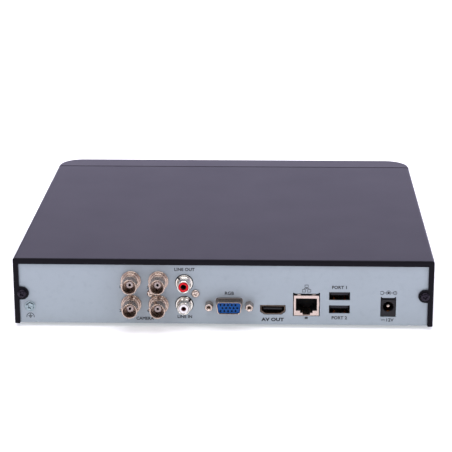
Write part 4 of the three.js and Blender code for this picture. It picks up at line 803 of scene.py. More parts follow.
def jack_screw(node):
    centre = middle(node)
    place = on_panel(centre.x, centre.z)
    mouth = sticks_out(node)
    across = JACK_ACROSS / math.sqrt(3)
    hexagon = loft([(disc(across * s, 6), y) for s, y in
                    ((0.93, 0.1), (1, 0.35), (1, mouth - 0.55), (0.86, mouth))])
    bore = [(0, mouth - 4.5), (1.15, mouth - 4.5)] + thread(1.42, mouth - 4.3, mouth - 0.2, 0.45, 0.2)
    bore += [(1.45, mouth - 0.25), (1.75, mouth + 0.1), (0, mouth + 0.1)]
    body = difference(hexagon, lathe(bore, 40))
    shank = lathe([(0, -5)] + thread(1.4, -5, 0.2) + [(1.2, 0.2), (0, 0.2)], 32)
    stand_in(node, moved(joined(body, shank), turn=17), NICKEL, place)


# ------------------------------------------------------------------ digital video socket
def digital_outline(margin, steps=3):
    side = 7.6 + margin
    rise = 2.8 + margin
    radius = max(0.1, 0.45 + margin)
    corners = [
        (-side + 2.6, -rise), (side - 2.6, -rise), (side, -rise + 1.9), (side, rise), (-side, rise),
        (-side, -rise + 1.9),
    ]
    return rounded([(x, z, radius) for x, z in corners], steps)


def digital_video():
    low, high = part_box("digital_video_shell")
    centre = (low + high) / 2
    place = Vector((centre.x, high.y, centre.z))
    depth = size("digital_video_shell").y
    tube = closed_loft([
        (digital_outline(0), -depth), (digital_outline(0), -0.2), (digital_outline(-0.08), 0),
        (digital_outline(-0.38), 0), (digital_outline(-0.45), -0.15), (digital_outline(-0.45), -depth),
    ])
    rear = loft([(digital_outline(-0.2), -depth), (digital_outline(-0.2), -depth + 0.6)])
    springs = []
    for x, level, lean in ((-3.4, -1, 1), (0, -1, 1), (3.4, -1, 1), (-3.6, 1, -1), (3.6, 1, -1)):
        z = level * 2.3
        path = [(x, -0.7, z), (x, -1.6, z + lean * 0.25), (x, -2.6, z + lean * 0.5),
                (x, -3.8, z + lean * 0.15), (x, -5, z)]
        springs.append(strip(path, 1.5, 0.22))
    # The whole shell takes the darker nickel: painted shade.
    stand_in("digital_video_shell", joined(tube, rear, *springs), SHADED_SHELL, place)
    tongue = block((-5.8, -depth + 1, -0.1), (5.8, -1.0, 1.1), 0.15)
    base = loft([(digital_outline(-0.55), -depth + 0.7), (digital_outline(-0.55), -depth + 3)])
    stand_in("digital_video_tongue", joined(tongue, base), BLACK_PLASTIC, place)
    fingers = []
    for k in range(19):
        x = (k - 9) * 0.5
        z = 1.1 if k % 2 else -0.1
        fingers.append(block((x - 0.16, -depth + 3, z - 0.05), (x + 0.16, -1.5, z + 0.05)))
    piece("digital_video_contacts", joined(*fingers), GOLD, place)


# ------------------------------------------------------------------ network socket
def network():
    low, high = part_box("network_shield")
    place = Vector(((low.x + high.x) / 2, high.y, low.z))
    width, depth, height = size("network_shield")
    half = width / 2

    def opening(y0, y1, grow=0.0):
        levels = [(13.1, 3.2, 11.3), (7.8, 1.8, 4.2), (4.6, 0.5, 2.8)]
        return [block((-w / 2 - grow, y0, a - grow), (w / 2 + grow, y1, b + grow)) for w, a, b in levels]

    shell = block((-half, -depth, 0), (half, 0, height), 0.25)
    shell = difference(shell, block((-half + 0.4, -depth - 1, 0.4), (half - 0.4, -0.4, height - 0.4)))
    for cutter in opening(-1, 1):
        shell = difference(shell, cutter)
    springs = []
    for x in (-4.6, 4.6):
        path = [(x, -3.2, height - 0.1), (x, -2.0, height + 0.75), (x, -1.2, height + 1.0),
                (x, -0.6, height + 0.7), (x, -0.15, height + 0.2)]
        springs.append(strip(path, 2.0, 0.2))
    for side in (-1, 1):
        path = [(side * (half - 0.1), -3.2, 7.5), (side * (half + 0.3), -1.6, 7.5),
                (side * (half + 0.05), -0.3, 7.5)]
        springs.append(strip(path, 3.0, 0.15, Vector((0, 0, 1))))
    stand_in("network_shield", joined(shell, *springs), SHIELD, place)
    insert = block((-half + 0.55, -depth, 0.55), (half - 0.55, -0.5, height - 0.55), 0.1)
    for cutter in opening(-13, 0, 0.02):
        insert = difference(insert, cutter)
    stand_in("network_insert", insert, PAINTED_SHADE_BLACK, place)
    wires = []
    for k in range(8):
        x = (k - 3.5) * 1.02
        path = [(x, -3.6, 10.9), (x, -4.0, 10.7), (x, -6.5, 9.4), (x, -10.0, 7.6), (x, -11.8, 7.0),
                (x, -12.9, 7.2)]
        wires.append(strip(path, 0.42, 0.3))
    piece("network_contacts", joined(*wires), GOLD, place)
    lamp = on_panel(place.x, UNDER_Z + 4.8 * MM)
    piece("network_link_light", block((-0.9, -1.3, -0.55), (0.9, -0.35, 0.55), 0.1), PAINTED_SHADE_BLACK,
            lamp)


SHIELD = plated("tinned_shield", srgb(194, 177, 168), 0.3)


# ------------------------------------------------------------------ USB sockets
USB_WIDE = 13.0
USB_TALL = 5.5


def usb():
    low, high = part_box("usb_shell")
    place = Vector(((low.x + high.x) / 2, high.y, 0))
    width, depth, _ = size("usb_shell")
    shell = block((-width / 2, -depth, low.z / MM), (width / 2, 0, high.z / MM), 0.3)
    ports = []
    fingers = []
    for node in ("usb_tongue_lower", "usb_tongue_upper"):
        z = middle(node).z / MM
        port = loft([(rectangle(USB_WIDE, USB_TALL, 0.5, 0, z), -depth + 1),
                (rectangle(USB_WIDE, USB_TALL, 0.5, 0, z), -0.3),
                     (rectangle(USB_WIDE + 0.3, USB_TALL + 0.3, 0.6, 0, z), 0.1)])
        ports.append(port)
        for x in (-3.3, 3.3):
            path = [(x, -1.6, z - 2.5), (x, -2.8, z - 2.3), (x, -4.0, z - 1.9), (x, -5.2, z - 2.2),
                    (x, -6.5, z - 2.5)]
            fingers.append(strip(path, 1.2, 0.2))
        tongue = block((-5.55, -depth + 1.2, -0.15), (5.55, -1.8, 1.75), 0.2)
        rear = block((-6.3, -depth + 1.1, -2.5), (6.3, -depth + 4, 2.5), 0.1)
        at = Vector((place.x, high.y, middle(node).z))
        stand_in(node, joined(tongue, rear), TONGUE, at)
        pads = [block((x - 0.5, -depth + 4, -0.22), (x + 0.5, -3.4, -0.1), 0.04)
                for x in (-3.5, -1, 1, 3.5)]
        piece(node.replace("tongue", "contacts"), joined(*pads), GOLD, at)
    for port in ports:
        shell = difference(shell, port)
    stand_in("usb_shell", shell, NICKEL, place)
    piece("usb_springs", joined(*fingers), COPPER, place)


TONGUE = moulded("usb_tongue_plastic", srgb(32, 29, 38), 0.45, Specular_IOR_Level=0.3)


# ------------------------------------------------------------------ power jack
def power_jack():
    low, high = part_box("power_jack")
    pin = middle("power_jack_pin")
    place = Vector((pin.x, high.y, pin.z))
    half = size("power_jack").x / 2
    depth = size("power_jack").y
    z0 = (low.z - pin.z) / MM
    z1 = (high.z - pin.z) / MM
    body = block((-half, -depth, z0), (half, 0, z1), 0.35)
    hole = lathe([(0, -9.5), (3.15, -9.5), (3.15, -0.5), (3.6, 0.1), (0, 0.1)], 56)
    body = difference(body, hole)
    body = difference(body, block((-half - 1, -1.2, z1 - 0.9), (half + 1, 1, z1 + 1)))
    stand_in("power_jack", body, BLACK_PLASTIC, place)
    post = [(0, -11), (1.0, -11), (1.0, -2.2), (0.85, -1.8), (0.55, -1.62), (0, -1.6)]
    piece("power_pin_fine", lathe(post, 32), NICKEL, place, stands_for=("power_jack_pin",))
    path = [(0, -0.9, -2.95), (0, -2.2, -2.7), (0, -3.6, -2.3), (0, -5.2, -2.6), (0, -7.5, -2.95)]
    piece("power_jack_spring", strip(path, 2.0, 0.25), COPPER, place)


# ------------------------------------------------------------------ printed marks
INK_THICK = 0.025


def text_shape(words, height, bold=0.0, width=1.0):
    """Lettering as a thin raised body, centred, reading from the rear."""
    curve = bpy.data.curves.new("words", "FONT")
    curve.body = words
    curve.align_x = "CENTER"
    curve.align_y = "CENTER"
    curve.size = height * 1.4
    curve.offset = bold
    curve.space_character = 1.05
    curve.resolution_u = 4
    holder = bpy.data.objects.new("words", curve)
    bpy.context.scene.collection.objects.link(holder)
    graph = bpy.context.evaluated_depsgraph_get()
    mesh = bpy.data.meshes.new_from_object(holder.evaluated_get(graph))
    bm = bmesh.new()
    bm.from_mesh(mesh)
    bpy.data.objects.remove(holder)
    bpy.data.curves.remove(curve)
    bpy.data.meshes.remove(mesh)
    for vert in bm.verts:
        vert.co = Vector((-vert.co.x * width, 0, vert.co.y))
    return raised(bm)


def raised(bm):
    """A flat drawing in the panel's plane given the ink's thickness."""
    bmesh.ops.remove_doubles(bm, verts=bm.verts, dist=1e-4)
    bmesh.ops.dissolve_limit(bm, angle_limit=0.01, verts=bm.verts, edges=bm.edges)
    bmesh.ops.triangulate(bm, faces=bm.faces)
    for face in bm.faces:
        if face.normal.y < 0:
            face.normal_flip()
    sheet = bmesh.ops.extrude_face_region(bm, geom=bm.faces[:])
    lifted = [v for v in sheet["geom"] if isinstance(v, bmesh.types.BMVert)]
    bmesh.ops.translate(bm, vec=(0, INK_THICK, 0), verts=lifted)
    bmesh.ops.recalc_face_normals(bm, faces=bm.faces)
    return bm


def line(points, width, closed=False):
    """A drawn line through (x, z) points, in the panel's plane."""
    bm = bmesh.new()
    places = [Vector(p) for p in points]
    count = len(places)
    rings = []
    for i, place in enumerate(places):
        before = places[i - 1] if closed or i else place
        after = places[(i + 1) % count] if closed or i + 1 < count else place
        along = (after - before).normalized()
        side = Vector((-along.y, along.x)) * width / 2
        left, right = place - side, place + side
        corners = ((left, 0), (right, 0), (right, INK_THICK), (left, INK_THICK))
        rings.append([bm.verts.new((p.x, y, p.y)) for p, y in corners])
    pairs = list(zip(rings, rings[1:]))
    if closed:
        pairs.append((rings[-1], rings[0]))
    for a, b in pairs:
        ring_to_ring(bm, a, b)
    if not closed:
        bm.faces.new(rings[0])
        bm.faces.new(list(reversed(rings[-1])))
    bmesh.ops.recalc_face_normals(bm, faces=bm.faces)
    return bm


def arc(radius, start, end, steps=20, x=0.0, z=0.0):
    angles = [math.radians(start + (end - start) * k / steps) for k in range(steps + 1)]
    return [(x + radius * math.cos(a), z + radius * math.sin(a)) for a in angles]


def spot(radius, x=0.0, z=0.0):
    return loft([(disc(radius, 20, x, z), 0), (disc(radius, 20, x, z), INK_THICK)])


def mark(name, shape, x, height):
    """A printed mark on the panel: x in metres, height over the case's underside in millimetres."""
    place = on_panel(x, UNDER_Z + height * MM)
    place.y += 0.004 * MM
    return piece(name, shape, INK, place)


def marks():
    phono_x = middle("audio_insulator_out").x
    video_x = (middle("video_dielectric_1").x + middle("video_dielectric_3").x) / 2
    dsub_x = middle("dsub_insert").x
    digital_x = middle("digital_video_shell").x
    network_x = middle("network_shield").x
    usb_x = middle("usb_shell").x
    power_x = middle("power_jack_pin").x
    ground_x = middle("ground_screw").x
    mark("mark_line_out", text_shape("LINE OUT", 1.95, 0.09), phono_x - 0.2 * MM, 35.8)
    mark("mark_line_in", text_shape("LINE IN", 1.9, 0.09), phono_x - 0.2 * MM, 4.95)
    mark("mark_camera", text_shape("CAMERA", 1.9, 0.09), video_x + 0.2 * MM, 3.6)
    mark("mark_rgb", text_shape("RGB", 2.1, 0.09), dsub_x, 20.5)
    mark("mark_av_out", text_shape("AV OUT", 2.1, 0.15, 1.22), digital_x, 3.55)
    mark("mark_port_upper", text_shape("PORT 1", 2.0, 0.09), usb_x, 24.9)
    mark("mark_port_lower", text_shape("PORT 2", 2.0, 0.09), usb_x, 5.0)
    mark("mark_voltage", text_shape("12V", 2.1, 0.09), power_x - 1.0 * MM, 3.9)
    bar = line([(-1.15, 0.35), (1.15, 0.35)], 0.25)
    dashes = [line([(x - 0.28, -0.35), (x + 0.28, -0.35)], 0.25) for x in (-0.87, 0, 0.87)]
    mark("mark_direct_current", joined(bar, *dashes), power_x + 3.1 * MM, 3.95)
    numerals = (("1", 6.9, -4.4), ("2", 6.9, -4.4), ("3", 6.7, -4.5), ("4", 6.8, -4.4))
    for digit, aside, drop in numerals:
        x, _, z = middle(f"video_dielectric_{digit}")
        mark(f"mark_channel_{digit}", text_shape(digit, 1.7, 0.07), x + aside * MM,
                (z - UNDER_Z) / MM + drop)
    boxes = [line([(x - 1, z - 0.8), (x + 1, z - 0.8), (x + 1, z + 0.8), (x - 1, z + 0.8)], 0.42, True)
             for x, z in ((0, 1.55), (-1.6, -1.5), (1.6, -1.5))]
    stems = [line([(-1.6, -0.7), (-1.6, 0.05), (1.6, 0.05), (1.6, -0.7)], 0.35),
            line([(0, 0.05), (0, 0.75)], 0.35)]
    mark("mark_network", joined(*boxes, *stems), network_x, 24.1)
    polarity = [line(arc(1.1, 20, 340, x=4), 0.36), line([(2.9, 0), (1.2, 0)], 0.34), spot(0.8),
                line(arc(1.35, -60, 240), 0.3), line([(-1.3, 0), (-2.9, 0)], 0.34),
                line(arc(1.1, 0, 360, x=-4)[:-1], 0.36, True), line([(-4.6, 0), (-3.4, 0)], 0.22),
                line([(-4, -0.6), (-4, 0.6)], 0.22)]
    mark("mark_polarity", joined(*polarity), power_x, 21.7)
    earth = [line([(0, 1.5), (0, 0.1)], 0.42), line([(-1.3, 0.1), (1.3, 0.1)], 0.42),
             line([(-0.85, -0.55), (0.85, -0.55)], 0.4), line([(-0.4, -1.2), (0.4, -1.2)], 0.4),
             line(arc(2.3, -15, 195, z=-0.4), 0.4)]
    mark("mark_earth", joined(*earth), ground_x, 4.7)


# ------------------------------------------------------------------ bezel, window and feet
BEZEL_CORNER = 17
BEZEL_EDGE = 1.6
BEZEL_WALL = 2.2
LAMP_PITCH = 9


def bezel():
    low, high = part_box("front_bezel")
    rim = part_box("chassis")[0].y / MM - 0.2
    front = low.y / MM
    half = high.x / MM
    z0 = low.z / MM
    z1 = high.z / MM

    def plan(inset):
        corner = BEZEL_CORNER - inset
        places = [(half - inset, rim, 0), (half - inset, front + inset, corner)]
        places += [(inset - half, front + inset, corner), (inset - half, rim, 0)]
        return rounded(places, 16)

    def level(inset, z):
        return [Vector((p.x, p.y, z)) for p in plan(inset)]

    radius = BEZEL_EDGE
    bends = [math.radians(a) for a in range(0, 91, 15)]
    outer = [level(radius * (1 - math.sin(a)), z0 + radius * (1 - math.cos(a))) for a in bends]
    outer += [level(radius * (1 - math.cos(a)), z1 - radius * (1 - math.sin(a))) for a in bends]
    inner = [level(BEZEL_WALL, z1 - BEZEL_WALL), level(BEZEL_WALL, z0 + BEZEL_WALL)]
    bm = bmesh.new()
    walls = [[bm.verts.new(p) for p in ring] for ring in outer]
    lining = [[bm.verts.new(p) for p in ring] for ring in inner]
    for rings in (walls, lining):
        for a, b in zip(rings, rings[1:]):
            for k in range(len(a) - 1):
                bm.faces.new((a[k], a[k + 1], b[k + 1], b[k]))
    bm.faces.new(walls[0])
    bm.faces.new(walls[-1])
    bm.faces.new(lining[0])
    bm.faces.new(lining[1])
    outer_edge = [ring[0] for ring in walls] + [ring[-1] for ring in reversed(walls)]
    inner_edge = [lining[0][0], lining[1][0], lining[1][-1], lining[0][-1]]
    loop = []
    for edge in (outer_edge, inner_edge):
        loop += [bm.edges.get(ends) or bm.edges.new(ends) for ends in zip(edge, edge[1:] + edge[:1])]
    bmesh.ops.triangle_fill(bm, edges=loop, use_beauty=True)
    bmesh.ops.recalc_face_normals(bm, faces=bm.faces)
    window = middle("front_window") / MM
    wide = size("front_window").x + 0.6
    tall = size("front_window").z + 0.6
    recess = loft([(rectangle(wide, tall, 1.5, window.x, window.z), front - 1),
                   (rectangle(wide, tall, 1.5, window.x, window.z), front + 1)])
    bm = difference(bm, recess)
    groove = block((-half - 1, front - 1, z0 + 8.0), (half + 1, front + 0.5, z0 + 8.6))
    bm = difference(bm, groove)
    for k in (-1, 0, 1):
        hole = lathe([(0, -4), (1.5, -4), (1.5, 4), (0, 4)], 24)
        bm = difference(bm, moved(hole, window.x + k * LAMP_PITCH, front, window.z))
    hooks = []
    for x in (-96, -43.333, 43.333, 96):
        for z in (z0 + 3.0, z0 + 32.0):
            arm = block((x - 4, front + 2.0, z), (x + 4, high.y / MM, z + 1.4), 0.15)
            catch = block((x - 4, rim + 1.4, z + 0.5), (x + 4, high.y / MM, z + 2.4), 0.4)
            hooks += [arm, catch]
    piece("bezel_shell", joined(bm, *hooks), BEZEL_PLASTIC, stands_for=("front_bezel",))
    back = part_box("front_window")[1].y / MM
    pane = loft([(rectangle(wide - 0.6, tall - 0.6, 1.3, window.x, window.z), back),
                 (rectangle(wide - 0.6, tall - 0.6, 1.3, window.x, window.z), back - 0.6),
                 (rectangle(wide - 1.0, tall - 1.0, 1.1, window.x, window.z), back - 0.8)])
    piece("window_pane", pane, SMOKED, stands_for=("front_window",))


def feet():
    for node in [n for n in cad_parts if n.startswith("foot_")]:
        place = middle(node)
        place.z = 0
        pad = [(0, 0.25), (3.4, 0.25), (3.6, 0.05), (3.9, 0), (5.2, 0)]
        pad += [(5.75, 0.2), (6.0, 0.7), (6.0, 1.3), (5.8, 1.75), (5.6, 1.9)]
        stem = [(2.2, 1.9), (2.2, 2.9), (2.85, 3.0), (2.6, 3.5), (1.5, 4.7), (0, 4.8)]
        stand_in(node, upright(lathe(pad + stem, 56)), RUBBER, place)


# ------------------------------------------------------------------ board parts
def chip(name, x, y, z, width, depth, height=1.2, pins=0, body="case"):
    """A moulded package with gull-wing leads on its long sides; the place is its underside's middle."""
    place = Vector((x, y, z)) * MM
    shape = block((-width / 2, -depth / 2, 0.15), (width / 2, depth / 2, height), 0.12)
    dimple = upright(lathe([(0, -0.1), (0.5, -0.1), (0.5, 1), (0, 1)], 16))
    shape = difference(shape, moved(dimple, 1.2 - width / 2, 1.2 - depth / 2, height))
    piece(name, shape, CHIP_PLASTIC, place, body)
    if not pins:
        return
    leads = []
    for k in range(pins):
        at = (k - (pins - 1) / 2) * (width - 1) / max(1, pins - 1)
        for side in (-1, 1):
            path = [(at, side * depth / 2, 0.7), (at, side * (depth / 2 + 0.35), 0.65),
                    (at, side * (depth / 2 + 0.5), 0.12), (at, side * (depth / 2 + 1.1), 0.08)]
            leads.append(strip(path, 0.3, 0.13))
    piece(name + "_leads", joined(*leads), TIN, place, body)


def capacitor(name, x, y, z, radius, height):
    place = Vector((x, y, z)) * MM
    can = [(0, 0), (radius * 0.95, 0), (radius, 0.3), (radius, 0.8), (radius * 0.93, 1.2), (radius, 1.6)]
    can += [(radius, height - 0.4), (radius * 0.92, height), (radius * 0.8, height + 0.02),
            (radius * 0.78, height - 0.15)]
    can += [(0, height - 0.12)]
    shape = upright(lathe(can, 36))
    score = []
    for turn in (0, 90):
        groove = block((-radius * 0.6, -0.08, height - 0.22), (radius * 0.6, 0.08, height + 1))
        score.append(moved(groove, turn=turn, axis="Z"))
    thing = piece(name, difference(shape, *score), CAN_SLEEVE, place)
    repaint(thing, ALUMINIUM, lambda at: at.z > height - 0.3 and math.hypot(at.x, at.y) < radius * 0.82)


def small_parts(name, area, z, count, keep_out, material, dims):
    """Rows of small chip parts scattered on a board, clear of what else stands there."""
    shapes = []
    ends = []
    taken = list(keep_out)
    tries = 0
    while len(shapes) < count and tries < 6000:
        tries += 1
        x = round(random.uniform(area[0], area[2]) / 0.8) * 0.8
        y = round(random.uniform(area[1], area[3]) / 0.8) * 0.8
        long_side, short_side, tall = dims
        w, d = (long_side, short_side) if random.random() < 0.5 else (short_side, long_side)
        box = (x - w / 2 - 0.5, y - d / 2 - 0.5, x + w / 2 + 0.5, y + d / 2 + 0.5)
        if any(box[0] < b[2] and box[2] > b[0] and box[1] < b[3] and box[3] > b[1] for b in taken):
            continue
        taken.append(box)
        inset = 0.22 * long_side
        along = Vector((1, 0, 0)) if w > d else Vector((0, 1, 0))
        across = Vector((along.y, along.x, 0))
        centre = Vector((x, y, z))
        ends_at = along * long_side / 2
        half = across * short_side / 2
        up = Vector((0, 0, tall))
        waist = along * (long_side / 2 - inset)
        shapes.append(block(centre - waist - half, centre + waist + half + up, 0.05, 1))
        wider = across * (short_side / 2 + 0.03)
        for side in (-1, 1):
            near, far = sorted((centre + side * ends_at, centre + side * waist),
                    key=lambda at: at.dot(along))
            ends.append(block(near - wider, far + wider + up + Vector((0, 0, 0.03)), 0.05, 1))
    piece(name, joined(*shapes), material)
    piece(name + "_ends", joined(*ends), TIN)
    return taken


CERAMIC = moulded("ceramic", srgb(170, 138, 100), 0.4, 0.004)
RESISTOR = moulded("resistor_film", srgb(24, 24, 28), 0.3, 0.004)


def footprint(node, grow=1.0):
    low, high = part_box(node)
    return (low.x / MM - grow, low.y / MM - grow, high.x / MM + grow, high.y / MM + grow)


def board_screw(name, x, y, z, body="case", head=2.7):
    dome = [math.radians(a) for a in range(0, 91, 18)]
    shape = [(0, 0), (head, 0), (head, 0.5)]
    shape += [(head * (0.5 + 0.5 * math.cos(a)), 0.5 + 1.1 * math.sin(a)) for a in dome]
    shape += [(0, 1.6)]
    bm = difference(lathe(shape, 36), *cross_recess(head * 0.6, head * 0.26, 1.6, 0.9))
    moved(bm, turn=random.uniform(0, 90))
    return piece(name, upright(bm), ZINC, Vector((x, y, z)) * MM, body)


def main_board():
    dress("main_board", GREEN_BOARD, 0.05)
    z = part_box("main_board")[1].z / MM
    x0, y0, x1, y1 = footprint("main_board", -2)
    solids = ["power_jack", "usb_shell", "network_shield", "digital_video_shell", "dsub_shell"]
    solids += ["audio_block", "video_block", "heat_sink", "battery_holder", "buzzer"]
    solids += ["data_header", "power_header", "indicator_header"]
    taken = [footprint(n) for n in solids]
    chips = [("memory_1", -50, 58, 13, 9, 11), ("memory_2", -50, 42, 13, 9, 11)]
    chips += [("video_decoder", 44, 76, 14, 14, 14), ("network_magnetics", -51.7, 82, 15, 8, 8)]
    chips += [("flash", 24, 50, 8, 6, 4), ("regulator", -84, 68, 9, 6, 5)]
    chips += [("audio_codec", 20, 82, 7, 6, 7), ("bridge", 36, 42, 10, 10, 10)]
    for name, x, y, w, d, pins in chips:
        chip(name, x, y, z, w, d, 1.3, pins)
        taken.append((x - w / 2 - 1.6, y - d / 2 - 2, x + w / 2 + 1.6, y + d / 2 + 2))
    cans = [(-106, 82, 4, 11), (-96, 82, 4, 11), (-106, 70, 3.2, 9), (-97, 70, 3.2, 9)]
    cans += [(-76, 82, 3.2, 9), (4, 82, 2.6, 6), (58, 60, 2.6, 6), (-70, 30, 3.2, 8), (5, 24, 2.6, 6)]
    for k, (x, y, radius, height) in enumerate(cans):
        capacitor(f"capacitor_{k + 1}", x, y, z, radius, height)
        taken.append((x - radius - 0.6, y - radius - 0.6, x + radius + 0.6, y + radius + 0.6))
    for k, (x, y) in enumerate(((-84, 50), (-84, 36), (-66, 66))):
        inductor(f"inductor_{k + 1}", x, y, z)
        taken.append((x - 5, y - 5, x + 5, y + 5))
    crystal("crystal", -33, 76, z)
    taken.append((-40, 73, -26, 79))
    holes = [(x0 + 4, y0 + 4), (x1 - 4, y0 + 4), (x0 + 4, y1 - 4), (-87.15, y1 - 4)]
    for k, (x, y) in enumerate(holes):
        board_screw(f"board_screw_{k + 1}", x, y, z + 0.02)
        taken.append((x - 3.5, y - 3.5, x + 3.5, y + 3.5))
    area = (x0, y0, x1, y1)
    taken = small_parts("ceramic_capacitors", area, z, 110, taken, CERAMIC,
            (1.6, 0.8, 0.7))
    taken = small_parts("resistors", area, z, 110, taken, RESISTOR, (1.6, 0.8, 0.45))
    small_parts("tantalums", area, z, 14, taken, YELLOW_SLEEVE, (3.5, 2.8, 1.9))
    dress("processor", CHIP_PLASTIC, 0.1)
    dress("heat_sink", FINNED, 0.15)
    dress("battery_holder", BLACK_PLASTIC, 0.2)
    dress("battery_cell", brushed("cell_can", srgb(205, 206, 208)), 0.3)
    dress("buzzer", BLACK_PLASTIC, 0.4)
    dress("data_header", BLACK_PLASTIC, 0.15)
    dress("power_header", WHITE_PLASTIC, 0.15)
    dress("indicator_header", WHITE_PLASTIC, 0.15)
    dress("video_block", BLACK_PLASTIC, 0.3)
    dress("audio_block", BLACK_PLASTIC, 0.3)


def inductor(name, x, y, z):
    place = Vector((x, y, z)) * MM
    piece(name, block((-3.5, -3.5, 0), (3.5, 3.5, 3.8), 0.8, 3), moulded_ferrite(), place)
    caps = [block((side * 3.0 - 0.6, -1.6, 0), (side * 3.0 + 0.6, 1.6, 1.2), 0.1) for side in (-1, 1)]
    piece(name + "_ends", joined(*caps), TIN, place)


def moulded_ferrite():
    existing = bpy.data.materials.get("ferrite")
    return existing or moulded("ferrite", srgb(74, 74, 78), 0.6, 0.04)


def crystal(name, x, y, z):
    outline = rectangle(11, 4.4, 2.15)
    rim = rectangle(11.6, 5.0, 2.4)
    sections = [(rim, 0.1), (rim, 0.5), (outline, 0.6), (outline, 3.1), (rectangle(10.4, 3.8, 1.85), 3.5)]
    piece(name, upright(loft(sections)), ALUMINIUM, Vector((x, y, z)) * MM)


# ------------------------------------------------------------------ drive and leads
def drive():
    dress("drive_base", CAST, 0.3)
    dress("drive_board", GREEN_BOARD, 0.05)
    dress("drive_platters", MIRROR, 0.08)
    dress("drive_head_arm", ALUMINIUM, 0.1)
    low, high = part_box("drive_lid")
    x0, y0 = low.x / MM, low.y / MM
    x1, y1 = high.x / MM, high.y / MM
    z = high.z / MM
    cx, cy = (x0 + x1) / 2, (y0 + y1) / 2
    lid = upright_plate(rectangle(x1 - x0, y1 - y0, 4, cx, cy), low.z / MM, z, 0.2)
    spindle = middle("drive_platters") / MM
    arm = (spindle.x + 57, spindle.y + 24)
    ring = lathe([(14, -0.5), (16, -0.5), (16.6, 1), (13.4, 1)], 64, closed=True)
    lid = difference(lid, moved(upright(ring), spindle.x, spindle.y, z))
    swept = lathe([(46.5, -0.45), (47.5, -0.45), (48, 1), (46, 1)], 96, closed=True)
    lid = difference(lid, moved(upright(swept), spindle.x, spindle.y, z))
    stand_in("drive_lid", lid, ALUMINIUM)
    corners = [(x, y) for y in (y0 + 5, y1 - 5) for x in (x0 + 5, x1 - 5)]
    corners += [(cx + 8, y0 + 4), (cx + 8, y1 - 4)]
    for k, (x, y) in enumerate(corners + [arm, (spindle.x, spindle.y)]):
        board_screw(f"drive_screw_{k + 1}", x, y, z + 0.02, head=2.2)
    label = upright_plate(rectangle(62, 74, 2, x1 - 46, cy - 4), z + 0.02, z + 0.12, 0.02)
    piece("drive_label", label, PAPER)
    bars = []
    x = x1 - 72
    while x < x1 - 22:
        w = random.choice((0.4, 0.8, 1.2))
        bars.append(block((x, cy - 38, z + 0.12), (x + w, cy - 31, z + 0.15)))
        x += w + random.choice((0.5, 0.9))
    lines = []
    for k in range(8):
        end = x1 - 72 + random.uniform(22, 48)
        lines.append(block((x1 - 72, cy + 26 - k * 6, z + 0.12), (end, cy + 27.2 - k * 6, z + 0.15)))
    piece("drive_label_print", joined(*bars, *lines), INK)


def upright_plate(outline, z0, z1, edge):
    """A flat outline in (x, y) made thick from z0 to z1 with its upper edge rounded."""
    bm = bmesh.new()
    centre = sum(outline, Vector((0, 0))) / len(outline)
    inner = [centre + (p - centre) * (1 - edge / max(1.0, (p - centre).length)) for p in outline]
    rings = [[bm.verts.new((p.x, p.y, z)) for p in ring] for ring, z in
             ((outline, z0), (outline, z1 - edge), (inner, z1))]
    for a, b in zip(rings, rings[1:]):
        ring_to_ring(bm, a, b)
    bm.faces.new(rings[0])
    bm.faces.new(rings[-1])
    bmesh.ops.recalc_face_normals(bm, faces=bm.faces)
    return bm


def leads():
    dress("data_cable", RED_SLEEVE, 0.3)
    dress("power_cable", YELLOW_SLEEVE, 0.3)
    dress("indicator_cable", GREY_SLEEVE, 0.25)


def indicators():
    dress("light_pipe", CLEAR, 0.15)
    dress("indicator_board", GREEN_BOARD, 0.05)
    low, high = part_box("indicator_board")
    centre = (low + high) / 2
    for k in (-1, 0, 1):
        lamp = [(0, 0), (1.3, 0), (1.3, 0.35), (1.1, 0.6), (0.6, 0.8), (0, 0.85)]
        place = Vector((centre.x + k * LAMP_PITCH * MM, low.y, centre.z))
        shape = moved(lathe(lamp, 24), turn=180, axis="Z")
        piece(f"indicator_lamp_{k + 2}", shape, LAMP, place)


LAMP = gloss("lamp_resin", srgb(212, 226, 190), 0.15)


# ------------------------------------------------------------------ stage
FLOOR_SIZE = 6000
FLOOR_GLOW = 0.32
FAR_SKY = 1.68
NEAR_SKY = 0.16


def stage():
    ground = bmesh.new()
    bmesh.ops.create_grid(ground, x_segments=1, y_segments=1, size=FLOOR_SIZE)
    floor = to_object("floor", ground)
    pale = Finish("pale_floor", (0.86, 0.86, 0.865), 0.55, Emission_Strength=FLOOR_GLOW)
    pale.shader.inputs["Emission Color"].default_value = (1, 1, 1, 1)
    pale.blotch(400, 0.01).grain(1.2, 0.01)
    floor.data.materials.append(pale.material)


def area_light(name, place, towards, width, height, power, color=(1, 1, 1)):
    lamp = bpy.data.lights.new(name, "AREA")
    lamp.shape = "RECTANGLE"
    lamp.size = width
    lamp.size_y = height
    lamp.energy = power
    lamp.color = color
    holder = bpy.data.objects.new(name, lamp)
    place = Vector(place)
    turn = (Vector(towards) - place).to_track_quat("-Z", "Y").to_matrix().to_4x4()
    holder.matrix_world = Matrix.Translation(place) @ turn
    bpy.context.scene.collection.objects.link(holder)


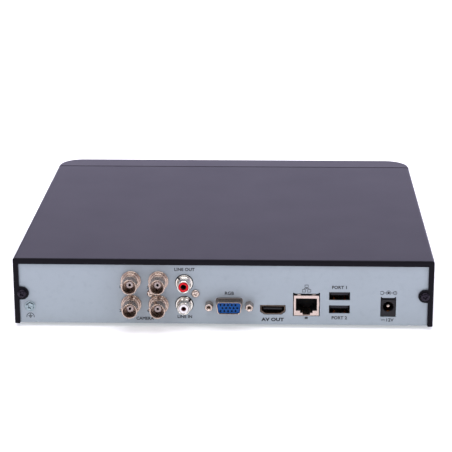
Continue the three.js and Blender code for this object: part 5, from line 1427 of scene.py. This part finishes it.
def light():
    world = bpy.data.worlds.new("studio")
    world.use_nodes = True
    bpy.context.scene.world = world
    nodes = world.node_tree.nodes
    links = world.node_tree.links
    background = nodes["Background"]
    out = nodes["World Output"]
    place = nodes.new("ShaderNodeTexCoord").outputs["Generated"]
    split = nodes.new("ShaderNodeSeparateXYZ")
    links.new(place, split.inputs[0])
    bright = nodes.new("ShaderNodeMapRange")
    bright.inputs["From Min"].default_value = -0.75
    bright.inputs["From Max"].default_value = 0.65
    bright.inputs["To Min"].default_value = FAR_SKY
    bright.inputs["To Max"].default_value = NEAR_SKY
    links.new(split.outputs["Y"], bright.inputs["Value"])
    links.new(bright.outputs["Result"], background.inputs["Strength"])
    background.inputs["Color"].default_value = (0.94, 0.89, 1.12, 1)
    backdrop = nodes.new("ShaderNodeBackground")
    backdrop.inputs["Color"].default_value = (1, 1, 1, 1)
    backdrop.inputs["Strength"].default_value = 1.0
    seen = nodes.new("ShaderNodeLightPath").outputs["Is Camera Ray"]
    mix = nodes.new("ShaderNodeMixShader")
    links.new(seen, mix.inputs["Fac"])
    links.new(background.outputs[0], mix.inputs[1])
    links.new(backdrop.outputs[0], mix.inputs[2])
    links.new(mix.outputs[0], out.inputs["Surface"])
    area_light("overhead", (0, 0.2, 1.5), (0, 0, 0), 1.8, 1.6, 22)
    area_light("key", (0.9, 1.5, 1.0), (0, 0.1, 0), 0.9, 0.9, 6.8, (1, 0.99, 0.98))
    area_light("fill", (-1.1, 1.3, 0.6), (0, 0.1, 0), 0.8, 0.8, 3.9, (0.97, 0.98, 1))
    bpy.context.scene.view_settings.view_transform = "Standard"


# ------------------------------------------------------------------ assembly
dress("chassis", PANEL_STEEL, 0.12)
dress("top_cover", PAINT, 0.16)
screws()
for number in range(1, 5):
    video_socket(number)
# The out socket's bore tube is near-black painted shade.
audio_socket("out", RED_PLASTIC, 45, 1.75, PAINTED_SHADE_BLACK)
audio_socket("in", PORCELAIN, -48, 1.45, DEEP_RED)
dsub()
digital_video()
network()
usb()
power_jack()
marks()
bezel()
feet()
main_board()
drive()
leads()
indicators()
stage()
light()

bpy.context.view_layer.update()
